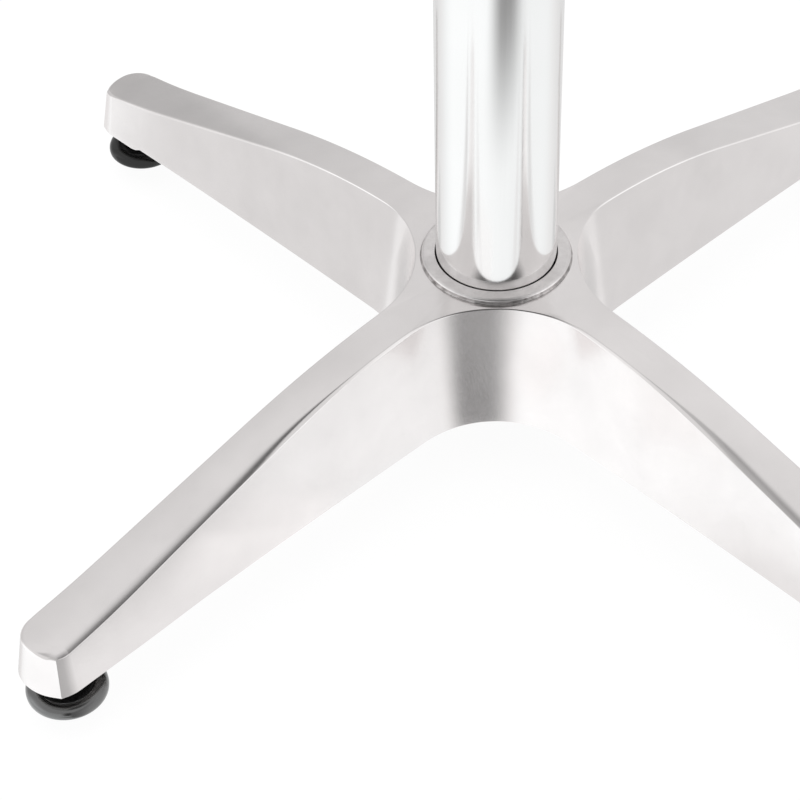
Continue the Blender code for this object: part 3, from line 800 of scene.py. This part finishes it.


# one plastic in two copies: the weak coat dims three pads as painted shade, the strong coat is painted sheen
glossy_black = moulded_plastic("glossy_black_plastic", shade=0.006, bloom=0.011,
                               gloss=(0.16, 0.26), coat=0.25)
sheen_lit_black = moulded_plastic("sheen_lit_black_plastic", shade=0.006, bloom=0.011,
                                gloss=(0.16, 0.26), coat=1.0)
# the dished tops are duller and darker than the sides: painted shade from the leg above them
shaded_matt_black = moulded_plastic("shaded_matt_black_plastic", shade=0.004, bloom=0.007,
                             gloss=(0.45, 0.60), coat=0.05)
foot_centres = {}
for leg in LEGS:
    pad_low, pad_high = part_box("foot_pad_" + leg)
    centre = (pad_low + pad_high) / 2
    foot_centres[leg] = Vector((centre.x, centre.y, 0))
    pad_radius = (pad_high.x - pad_low.x) / 2 - PAD_TRIM
    pad_shape = turned(pad_profile(pad_radius, pad_high.z - pad_low.z), PAD_STEPS)
    # faces of the dished top take the duller finish, painted shade under the leg
    for face in pad_shape.faces:
        middle = face.calc_center_median()
        if middle.z > PAD_LEDGE and middle.xy.length < PAD_TOP_RADIUS:
            face.material_index = 1
    bmesh.ops.translate(pad_shape, verts=pad_shape.verts, vec=foot_centres[leg])
    outside = sheen_lit_black if leg == SHEEN_LIT_PAD else glossy_black
    pad = make_piece("pad_moulded_" + leg, pad_shape, (outside, shaded_matt_black))
    dress(pad, "pad_" + leg, "black_plastic", "foot_pad_" + leg)


# Levelling studs: zinc-plated steel, with a flat head, a hexagon for a spanner and an M8 thread.
# The head is held in the pad and turns there, and the thread screws up into the nut in the leg's end.
STUD_HEAD_RADIUS = 0.0065
STUD_HEAD_LOW = 0.0008
STUD_HEAD_TOP = 0.0030
STUD_HEAD_CHAMFER = 0.0003
STUD_HEX_LOW = 0.0078
STUD_HEX_HIGH = 0.0128
STUD_HEX_FLATS = 0.013
STUD_RADIUS = 0.0040
STUD_PITCH = 0.00125
STUD_THREAD_START = 0.0145
STUD_CHAMFER = 0.0008
STUD_CORE_TRIM = 0.0006           # a plain core, this much thinner, stands inside the thread's start
THREAD_SINK = 0.0004              # how far the thread starts inside the hexagon
THREAD_SHARE = 0.61
THREAD_SLOPE = 1.3
THREAD_CREST = 0.15
THREAD_ROUND_STEPS = 32
THREAD_PITCH_STEPS = 10
HEX_STEPS = 72
HEX_FACE_SHARE = 0.97
HEX_CHAMFER = math.tan(math.radians(30))


def thread_loops(radius, pitch, low, high, chamfer):
    """Loops up a right-hand screw thread, with a plain start and a chamfered end."""
    depth = pitch * THREAD_SHARE
    steps = round((high - low) / pitch * THREAD_PITCH_STEPS)
    loops = []
    for i in range(steps + 1):
        height = low + (high - low) * i / steps
        fade = smooth_step(height, low, low + pitch)
        limit = radius - max(height - (high - chamfer), 0.0)
        loop = []
        for k in range(THREAD_ROUND_STEPS):
            turn = 2 * math.pi * k / THREAD_ROUND_STEPS
            phase = (height / pitch - k / THREAD_ROUND_STEPS) % 1.0
            groove = min(max(abs(2 * phase - 1) * THREAD_SLOPE - THREAD_CREST, 0.0), 1.0)
            reach = min(radius - depth * groove * fade, limit)
            loop.append(Vector((reach * math.cos(turn), reach * math.sin(turn), height)))
        loops.append(loop)
    return loops


def hex_loops(flats, low, high, count):
    """A hexagon bar whose corners are cut by a cone at both ends."""
    face = flats / 2 * HEX_FACE_SHARE
    lower = []
    upper = []
    for k in range(count):
        turn = 2 * math.pi * k / count
        reach = hexagon_reach(flats, turn)
        cut = (reach - face) * HEX_CHAMFER
        flat = Vector((reach * math.cos(turn), reach * math.sin(turn), 0))
        lower.append(flat + Vector((0, 0, low + cut)))
        upper.append(flat + Vector((0, 0, high - cut)))
    return [circle(face, low, count), lower, upper, circle(face, high, count)]


def stud_shape():
    """Head, neck and hexagon, with a plain core on top for the thread to stand round."""
    head_edge = STUD_HEAD_RADIUS - STUD_HEAD_CHAMFER
    core = STUD_RADIUS - STUD_CORE_TRIM
    head = [
        (head_edge, STUD_HEAD_LOW),
        (STUD_HEAD_RADIUS, STUD_HEAD_LOW + STUD_HEAD_CHAMFER),
        (STUD_HEAD_RADIUS, STUD_HEAD_TOP - STUD_HEAD_CHAMFER),
        (head_edge, STUD_HEAD_TOP),
        (STUD_RADIUS, STUD_HEAD_TOP),
        (STUD_RADIUS, STUD_HEX_LOW),
    ]
    hexagon = hex_loops(STUD_HEX_FLATS, STUD_HEX_LOW, STUD_HEX_HIGH, HEX_STEPS)
    above = [(core, STUD_HEX_HIGH), (core, STUD_THREAD_START)]
    return lofted(circles(head, HEX_STEPS) + hexagon + circles(above, HEX_STEPS))


zinc_plate = metal("zinc_plated_steel", bright=(0.66, 0.665, 0.67), dull=(0.56, 0.56, 0.55),
                   gloss=(0.26, 0.42), fineness=800.0, clouds=160.0, pinholes=1200.0,
                   relief=0.00002, pits=0.25)
for leg in LEGS:
    stud_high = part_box("foot_stud_" + leg)[1].z
    stud = make_piece("stud_threaded_" + leg, stud_shape(), (zinc_plate,))
    thread_start = STUD_HEX_HIGH - THREAD_SINK
    thread = lofted(thread_loops(STUD_RADIUS, STUD_PITCH, thread_start, stud_high, STUD_CHAMFER))
    carve(stud, [make_piece("thread_tool", thread, (zinc_plate,))], "UNION")
    stud.data.transform(Matrix.Translation(foot_centres[leg]))
    stud.data.set_sharp_from_angle(angle=SHARP_ANGLE)
    dress(stud, "stud_" + leg, "zinc_steel", "foot_stud_" + leg)


# Foot nuts: M8 steel nuts pressed into the hexagon pockets under the ends of the legs.
# They carry the studs' threads, because the aluminium alone would strip.
FOOT_NUT_FLATS = 0.013
FOOT_NUT_BORE = 0.0043
NUT_BORE_CHAMFER = 0.0006


def nut_shape(flats, bore, low, high):
    """A chamfered hexagon nut with a countersunk hole."""
    loops = hex_loops(flats, low, high, HEX_STEPS)
    hole = [
        (bore + NUT_BORE_CHAMFER, high),
        (bore, high - NUT_BORE_CHAMFER),
        (bore, low + NUT_BORE_CHAMFER),
        (bore + NUT_BORE_CHAMFER, low),
    ]
    return lofted(loops + circles(hole, HEX_STEPS), ring=True)


for leg in LEGS:
    nut_low, nut_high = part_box("foot_nut_" + leg)
    foot_nut_shape = nut_shape(FOOT_NUT_FLATS, FOOT_NUT_BORE, nut_low.z, nut_high.z)
    bmesh.ops.translate(foot_nut_shape, verts=foot_nut_shape.verts, vec=foot_centres[leg])
    foot_nut = make_piece("nut_pressed_" + leg, foot_nut_shape, (zinc_plate,))
    dress(foot_nut, "base", "zinc_steel", "foot_nut_" + leg)


# Tie rod: an M10 zinc-plated steel rod down the middle of the column, threaded at both ends.
# It is put through the casting's socket floor and the spider's web, and nuts draw the three together.
ROD_RADIUS = 0.005
ROD_PITCH = 0.0015
ROD_CHAMFER = 0.0009
ROD_THREAD = 0.030

rod_low, rod_high = (corner.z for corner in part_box("tie_rod"))
rod_half = (rod_high - rod_low) / 2
rod_end = thread_loops(ROD_RADIUS, ROD_PITCH, rod_half - ROD_THREAD, rod_half, ROD_CHAMFER)
half_turn = Matrix.Rotation(math.pi, 4, "X")
rod_start = [[half_turn @ loop[-k] for k in range(len(loop))] for loop in reversed(rod_end)]
rod_shape = lofted(rod_start + rod_end)
bmesh.ops.translate(rod_shape, verts=rod_shape.verts, vec=(0, 0, rod_low + rod_half))
rod = make_piece("rod_threaded", rod_shape, (zinc_plate,))
dress(rod, "base", "zinc_steel", "tie_rod")


# Rod fasteners: a punched plate washer and a nut at each end, and a split spring washer at the lower one.
# They bear on the flat under the casting's socket and in the round recess on top of the spider.
PLATE_WASHER_RADIUS = 0.015
WASHER_BORE = 0.0055
WASHER_EDGE = 0.0004
WASHER_SHARP_EDGE = 0.00008       # the side that the punch broke through
SPRING_WASHER_RADIUS = 0.009
SPRING_WASHER_SPLIT = 0.0016
ROD_NUT_FLATS = 0.017
ROD_NUT_BORE = 0.0053
WASHER_STEPS = 72

for end in ("base", "top"):
    washer_low, washer_high = (corner.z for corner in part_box(end + "_plate_washer"))
    washer_profile = [
        (WASHER_BORE, washer_low),
        (PLATE_WASHER_RADIUS - WASHER_EDGE, washer_low),
        (PLATE_WASHER_RADIUS - ROUND_MIDDLE * WASHER_EDGE, washer_low + ROUND_MIDDLE * WASHER_EDGE),
        (PLATE_WASHER_RADIUS, washer_low + WASHER_EDGE),
        (PLATE_WASHER_RADIUS, washer_high - WASHER_SHARP_EDGE),
        (PLATE_WASHER_RADIUS - WASHER_SHARP_EDGE, washer_high),
        (WASHER_BORE + WASHER_EDGE, washer_high),
        (WASHER_BORE, washer_high - WASHER_EDGE),
    ]
    plate_washer = make_piece("washer_plate_" + end, turned(washer_profile, WASHER_STEPS), (zinc_plate,))
    dress(plate_washer, "base", "zinc_steel", end + "_plate_washer")
    nut_low, nut_high = (corner.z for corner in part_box(end + "_rod_nut"))
    rod_nut_shape = nut_shape(ROD_NUT_FLATS, ROD_NUT_BORE, nut_low, nut_high)
    rod_nut = make_piece("nut_rod_" + end, rod_nut_shape, (zinc_plate,))
    dress(rod_nut, "base", "zinc_steel", end + "_rod_nut")

spring_low, spring_high = (corner.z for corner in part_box("base_spring_washer"))
split_turn = SPRING_WASHER_SPLIT / (SPRING_WASHER_RADIUS + WASHER_BORE)
spring_loops = []
for i in range(WASHER_STEPS + 1):
    turn = split_turn + 2 * (math.pi - split_turn) * i / WASHER_STEPS
    outward = Vector((math.cos(turn), math.sin(turn), 0))
    section = []
    for reach, height, out, up in (
        (WASHER_BORE, spring_low, 1, 1),
        (SPRING_WASHER_RADIUS, spring_low, -1, 1),
        (SPRING_WASHER_RADIUS, spring_high, -1, -1),
        (WASHER_BORE, spring_high, 1, -1),
    ):
        first = outward * reach + Vector((0, 0, height + up * WASHER_EDGE))
        second = outward * (reach + out * WASHER_EDGE) + Vector((0, 0, height))
        section += [first, second] if out == up else [second, first]
    spring_loops.append(section)
spring_washer = make_piece("washer_spring_base", lofted(spring_loops), (zinc_plate,))
dress(spring_washer, "base", "zinc_steel", "base_spring_washer")


# Top spider: a flat four-armed aluminium casting, blasted and left bare, that carries the table top.
# A wood screw goes up through the end of each arm, and its socket holds the column's upper end.
SEAT_GAP = 0.0003
SPIDER_REACH = 0.150
SPIDER_HUB_RADIUS = 0.0432
SPIDER_ROOT_WIDTH = 0.034
SPIDER_TIP_WIDTH = 0.028
SPIDER_ROOT_THICKNESS = 0.014
SPIDER_TIP_THICKNESS = 0.007
SPIDER_CORNER = 0.010
SPIDER_EDGE = 0.0015
SPIDER_EDGE_STEPS = 4
SPIDER_FILLET = (0.00105, 0.0014)         # width and height of the fillet round the column's socket
SPIDER_FILLET_MIDDLE = (0.00021, 0.00042)
SPIDER_RECESS = 0.017
SPIDER_WEB = 0.008
SCREW_CIRCLE = 0.134
SCREW_HOLE = 0.00325
SCREW_CHAMFER = 0.0006


def spider_shape(top, web_under, mouth):
    star = Star(SPIDER_HUB_RADIUS, SPIDER_ROOT_WIDTH / 2,
                (SPIDER_TIP_WIDTH - SPIDER_ROOT_WIDTH) / 2 / SPIDER_REACH, SPIDER_REACH, SPIDER_CORNER)

    def underside(spot):
        share = min(max((spot.r - star.root) / (SPIDER_REACH - star.root), 0.0), 1.0)
        return top - SPIDER_ROOT_THICKNESS - (SPIDER_TIP_THICKNESS - SPIDER_ROOT_THICKNESS) * share

    shape = bmesh.new()
    loops = []
    bends = [math.pi / 2 * i / SPIDER_EDGE_STEPS for i in range(SPIDER_EDGE_STEPS + 1)]
    for bend in bends:
        inset = SPIDER_EDGE * (1 - math.sin(bend))
        lift = SPIDER_EDGE * (1 - math.cos(bend))
        loops.append(star.loop(shape, lambda s: -inset, lambda s: underside(s) + lift))
    for bend in reversed(bends):
        inset = SPIDER_EDGE * (1 - math.sin(bend))
        drop = SPIDER_EDGE * (1 - math.cos(bend))
        loops.append(star.loop(shape, lambda s: -inset, lambda s: top - drop))
    join_run(shape, loops)
    upper = star.fill(shape, loops[-1])
    lower = star.fill(shape, loops[0])
    under = top - SPIDER_ROOT_THICKNESS
    profile = [
        (SPIDER_RECESS + SCREW_CHAMFER, top),
        (SPIDER_RECESS, top - SCREW_CHAMFER),
        (SPIDER_RECESS, web_under + SPIDER_WEB),
        (ROD_HOLE, web_under + SPIDER_WEB),
        (ROD_HOLE, web_under),
        (SOCKET_RADIUS, web_under),
        (SOCKET_RADIUS, mouth + COLLAR_FILLET),
        (SOCKET_RADIUS + COLLAR_FILLET, mouth),
        (COLLAR_RADIUS - COLLAR_FILLET, mouth),
        (COLLAR_RADIUS, mouth + COLLAR_FILLET),
        (COLLAR_RADIUS, under - SPIDER_FILLET[1]),
        (COLLAR_RADIUS + SPIDER_FILLET_MIDDLE[0], under - SPIDER_FILLET_MIDDLE[1]),
        (COLLAR_RADIUS + SPIDER_FILLET[0], under),
    ]
    rings = [ring_towards(shape, upper, radius, height) for radius, height in profile]
    join_run(shape, [upper] + rings + [lower])
    return shape


blasted_cast = metal("blasted_cast_aluminium", bright=(0.66, 0.655, 0.645), dull=(0.58, 0.575, 0.565),
                     gloss=(0.36, 0.50), fineness=1100.0, clouds=45.0, pinholes=520.0,
                     relief=0.00008, pits=0.35)
spider_low, spider_high = (corner.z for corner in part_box("top_spider"))
web_under = column_high.z + SEAT_GAP
spider = make_piece("spider_blasted", spider_shape(spider_high, web_under, spider_low), (blasted_cast,))
screw_holes = []
for index, leg in enumerate(LEGS):
    turn = leg_turn(index)
    axis = Vector((math.cos(turn), math.sin(turn), 0)) * SCREW_CIRCLE
    bore = ((SCREW_HOLE, spider_low), (SCREW_HOLE, spider_high - SCREW_CHAMFER),
            (SCREW_HOLE + 2 * SCREW_CHAMFER, spider_high + SCREW_CHAMFER))
    hole = [[axis + point for point in loop] for loop in circles(bore, WASHER_STEPS)]
    screw_holes.append(make_piece("hole_tool_" + leg, lofted(hole), (blasted_cast,)))
carve(spider, screw_holes, "DIFFERENCE")
even_shading(spider)
dress(spider, "base", "spider_aluminium", "top_spider")


# Studio: a white floor just below the feet's furthest reach, in a white room with a soft lamp overhead.
# The metal sees bright walls beside it, greyer ones behind and above, and a ceiling that is dark in front.
# One-sided cards beside the legs and over the collar change that further, and only reflections show them.
FLOOR_HALF = 6.0
FLOOR_LEVEL = -0.0122             # just below the pads when they are screwed right out
FLOOR_WHITE = 0.11
FLOOR_GLOW = 0.93
LAMP_SIZE = 2.4
LAMP_PLACE = (-0.3, -0.2, 2.2)
LAMP_POWER = 14.0
UPRIGHT = math.pi / 2
FACE_UP = 0.0
FACE_DOWN = math.pi
BESIDE_LEG = 0.0318
# cards: light, where the edges along and then across fade from clear to full, place, tip and turn in degrees
SINGLE_CARDS = {
    "card_behind_left": (0.50, ((-0.40, -0.32), (-0.205, -0.245)), ((-0.01, 0.01), (0.32, 0.22)),
                         (0.0, 0.45, 0.0), UPRIGHT, 0),
    "card_front_left": (0.70, ((0.10, 0.215), (0.34, 0.31)), ((-0.30, -0.25), (0.075, 0.065)),
                        (-0.05, 0.0, 0.0), UPRIGHT, -90),
    "card_front_tip": (0.40, ((-0.035, 0.005), (0.06, 0.05)), ((-0.08, -0.06), (0.05, 0.04)),
                       (-0.16, -0.24, 0.0), UPRIGHT, 244.5),
    "card_over_collar": (0.10, ((-0.030, -0.014), (0.036, 0.019)), ((0.036, 0.041), (0.060, 0.052)),
                         (0.0, 0.0, 0.100), FACE_DOWN, 0),
    "floor_in_front": (0.34, ((-0.155, 0.05), (0.335, 0.13)), ((-0.22, -0.40), (-0.85, -0.75)),
                       (0.0, 0.0, 0.0002), FACE_UP, 0),
    "floor_lit_left": (1.08, ((-0.11, -0.09), (-0.015, -0.035)), ((-0.20, -0.175), (-0.110, -0.13)),
                       (0.0, 0.0, 0.0002), FACE_UP, 0),
}
# upright cards in mirrored pairs: light left and right, then edges, place and turn of the left one
PAIRED_CARDS = {
    "card_back": ((0.77, 0.75), ((0.05, 0.09), (0.62, 0.55)), ((-0.30, -0.26), (0.10, 0.08)),
                  (0.0, 0.0), 160),
    "card_throat": ((0.68, 0.68), ((-0.060, -0.070), (-0.118, -0.098)), ((-0.14, -0.12), (0.095, 0.080)),
                    (0.0, 0.0), -28),
    "card_along": ((0.88, 0.90), ((0.09, 0.20), (0.31, 0.27)), ((-0.12, -0.10), (0.045, 0.005)),
                   (BESIDE_LEG, -BESIDE_LEG), 225),
    "card_rear": ((0.80, 0.80), ((-0.06, -0.12), (-0.32, -0.30)), ((-0.035, -0.02), (0.06, 0.02)),
                  (BESIDE_LEG, BESIDE_LEG), -45),
    "card_outer": ((0.80, 0.80), ((-0.06, -0.12), (-0.32, -0.30)), ((-0.035, -0.02), (0.06, 0.02)),
                   (-BESIDE_LEG, BESIDE_LEG), 45),
}
# the room by direction: where a part of the room starts and is full, and the light at either end
HORIZON = (-0.10, 0.03)
FLOOR_LEFT = 1.13
FLOOR_RIGHT = (-0.61, -0.48, 1.04, 0.96)
FLOOR_SIDES = (-0.6, 0.6)
FLOOR_REAR = 0.80
FLOOR_REAR_START = (-0.05, 0.75)
SIDE_WALL_GLOW = (0.70, 0.90, 1.08, 1.35)
SIDE_WALL_FALL = (0.18, 0.48, 1.0, 0.70)
BACK_WALL_START = (-0.05, 0.42)
BACK_WALL_RISE = (0.20, 0.80, 0.64, 0.735)
BACK_WALL_DRIFT = (-0.30, 0.30, 0.95, 1.08)
CEILING_LIGHT = 0.775
CEILING_START = (0.74, 0.88)
DARK_CEILING = (-0.12, 0.12, 0.48, 0.10)
DARK_CEILING_START = (0.84, 0.91)
DARK_CEILING_REACH = (0.24, -0.22)
# patches that multiply the light: how much, the degrees from the front, and the heights
PATCHES = (
    (0.19, ((-25, 8), (54, 30)), ((-0.57, -0.50), (-0.35, -0.395))),
    (0.10, ((-14, 2), (42, 24)), ((-0.15, -0.05), (0.60, 0.45))),
    (1.20, ((32, 44), (78, 62)), ((-0.40, -0.24), (0.06, -0.02))),
)
WHITE = (1.0, 1.0, 1.0, 1.0)
COOL_WHITE = (0.98, 1.0, 1.004, 1.0)
COOL_START = (0.90, 1.04)


def flat_sheet(name, low, high, finish, place, tip=0.0, turn=0.0):
    """A rectangle for the studio, level or tipped up about its own X and then turned."""
    shape = bmesh.new()
    corners = ((low[0], low[1]), (high[0], low[1]), (high[0], high[1]), (low[0], high[1]))
    shape.faces.new([shape.verts.new((x, y, 0.0)) for x, y in corners])
    mesh = bpy.data.meshes.new(name)
    shape.to_mesh(mesh)
    shape.free()
    mesh.materials.append(finish)
    sheet = bpy.data.objects.new(name, mesh)
    sheet.location = place
    sheet.rotation_euler = (tip, 0.0, turn)
    bpy.context.collection.objects.link(sheet)
    return sheet


def ramp(tree, value, start, end, low=0.0, high=1.0):
    item = put(tree, "ShaderNodeMapRange", {"interpolation_type": "SMOOTHSTEP"}, Value=value,
               From_Min=start, From_Max=end, To_Min=low, To_Max=high)
    return item.outputs["Result"]


def mix_shaders(tree, share, first, second, output):
    """A mix of two shaders as the surface of a material or a world."""
    item = put(tree, "ShaderNodeMixShader", Fac=share)
    tree.links.new(first, item.inputs[1])
    tree.links.new(second, item.inputs[2])
    tree.links.new(item.outputs["Shader"], tree.nodes[output].inputs["Surface"])


def floor_finish():
    """White to the camera with the object's shadow, and clear from underneath."""
    material, tree = new_material("white_floor")
    tree.nodes.remove(tree.nodes["Principled BSDF"])
    path = put(tree, "ShaderNodeLightPath")
    matt = put(tree, "ShaderNodeBsdfDiffuse", Color=(FLOOR_WHITE, FLOOR_WHITE, FLOOR_WHITE, 1.0))
    strength = join_nodes(tree, "MULTIPLY", path.outputs["Is Camera Ray"], FLOOR_GLOW)
    glow = put(tree, "ShaderNodeEmission", Strength=strength)
    lit = put(tree, "ShaderNodeAddShader")
    tree.links.new(matt.outputs["BSDF"], lit.inputs[0])
    tree.links.new(glow.outputs["Emission"], lit.inputs[1])
    clear = put(tree, "ShaderNodeBsdfTransparent")
    below = put(tree, "ShaderNodeNewGeometry").outputs["Backfacing"]
    mix_shaders(tree, below, lit.outputs["Shader"], clear.outputs["BSDF"], "Material Output")
    return material


def soft_card(name, light, along, across, place, tip, turn):
    """A card that only reflections show, and only from its face, with edges that fade over the ramps."""
    material, tree = new_material(name)
    tree.nodes.remove(tree.nodes["Principled BSDF"])
    parts = put(tree, "ShaderNodeSeparateXYZ", Vector=put(tree, "ShaderNodeTexCoord").outputs["Object"])
    mask = join_nodes(tree, "SUBTRACT", 1.0, put(tree, "ShaderNodeNewGeometry").outputs["Backfacing"])
    for axis, ramps in (("X", along), ("Y", across)):
        for limits in ramps:
            mask = join_nodes(tree, "MULTIPLY", mask, ramp(tree, parts.outputs[axis], *limits))
    clear = put(tree, "ShaderNodeBsdfTransparent")
    grey = put(tree, "ShaderNodeEmission", Color=(light, light, light, 1.0), Strength=1.0)
    mix_shaders(tree, mask, clear.outputs["BSDF"], grey.outputs["Emission"], "Material Output")
    edges = [[edge for limits in ramps for edge in limits] for ramps in (along, across)]
    sheet = flat_sheet(name, [min(ends) for ends in edges], [max(ends) for ends in edges], material,
                       place, tip, turn)
    for ray in ("camera", "diffuse", "transmission", "shadow"):
        setattr(sheet, "visible_" + ray, False)


floor = flat_sheet("floor", (-FLOOR_HALF, -FLOOR_HALF), (FLOOR_HALF, FLOOR_HALF), floor_finish(),
                   (0.0, 0.0, FLOOR_LEVEL))
floor.visible_glossy = False
for name, (light, along, across, place, tip, turn) in SINGLE_CARDS.items():
    soft_card(name, light, along, across, place, tip, math.radians(turn))
for name, (lights, along, across, (x, y), turn) in PAIRED_CARDS.items():
    for side, hand, light in zip(("left", "right"), (1, -1), lights):
        flipped = [(hand * start, hand * end) for start, end in along]
        soft_card(name + "_" + side, light, flipped, across, (hand * x, y, 0.0), UPRIGHT,
                  math.radians(hand * turn))

lamp_data = bpy.data.lights.new("overhead_lamp", "AREA")
lamp_data.shape = "DISK"
lamp_data.size = LAMP_SIZE
lamp_data.energy = LAMP_POWER
lamp = bpy.data.objects.new("overhead_lamp", lamp_data)
lamp.location = LAMP_PLACE
lamp.visible_glossy = False
bpy.context.collection.objects.link(lamp)


def room_light():
    """The room by direction: ground, walls and ceiling, times the patches. The camera sees plain white."""
    world = bpy.data.worlds.new("white_room")
    world.use_nodes = True
    tree = world.node_tree
    parts = put(tree, "ShaderNodeSeparateXYZ", Vector=put(tree, "ShaderNodeTexCoord").outputs["Generated"])
    x, y, z = (parts.outputs[axis] for axis in "XYZ")
    turn = join_nodes(tree, "ARCTAN2", x, join_nodes(tree, "MULTIPLY", y, -1.0))
    aside = join_nodes(tree, "ABSOLUTE", x, 0.0)

    def product(first, second):
        return join_nodes(tree, "MULTIPLY", first, second)

    def blend(mask, low, high):
        item = put(tree, "ShaderNodeMix", {"data_type": "FLOAT"}, Factor=mask, A=low, B=high)
        return item.outputs["Result"]

    back_wall = product(ramp(tree, z, *BACK_WALL_RISE), ramp(tree, x, *BACK_WALL_DRIFT))
    side_wall = product(ramp(tree, aside, *SIDE_WALL_GLOW), ramp(tree, z, *SIDE_WALL_FALL))
    walls = blend(ramp(tree, y, *BACK_WALL_START), side_wall, back_wall)
    above = blend(ramp(tree, z, *CEILING_START), walls, CEILING_LIGHT)
    in_dark = product(ramp(tree, z, *DARK_CEILING_START), ramp(tree, y, *DARK_CEILING_REACH))
    above = blend(in_dark, above, ramp(tree, x, *DARK_CEILING))
    front_floor = blend(ramp(tree, x, *FLOOR_SIDES), FLOOR_LEFT, ramp(tree, z, *FLOOR_RIGHT))
    ground = blend(ramp(tree, y, *FLOOR_REAR_START), front_floor, FLOOR_REAR)
    light = blend(ramp(tree, z, *HORIZON), ground, above)
    for level, turns, heights in PATCHES:
        mask = 1.0
        for start, end in turns:
            mask = product(mask, ramp(tree, turn, math.radians(start), math.radians(end)))
        for start, end in heights:
            mask = product(mask, ramp(tree, z, start, end))
        light = product(light, blend(mask, 1.0, level))
    tint = put(tree, "ShaderNodeMix", {"data_type": "RGBA"}, Factor=ramp(tree, light, *COOL_START),
               A=WHITE, B=COOL_WHITE)
    path = put(tree, "ShaderNodeLightPath")
    room = put(tree, "ShaderNodeBackground", Color=tint.outputs["Result"], Strength=light)
    white = put(tree, "ShaderNodeBackground", Color=WHITE, Strength=1.0)
    mix_shaders(tree, path.outputs["Is Camera Ray"], room.outputs["Background"],
                white.outputs["Background"], "World Output")
    return world


bpy.context.scene.world = room_light()
bpy.context.scene.view_settings.view_transform = "Standard"
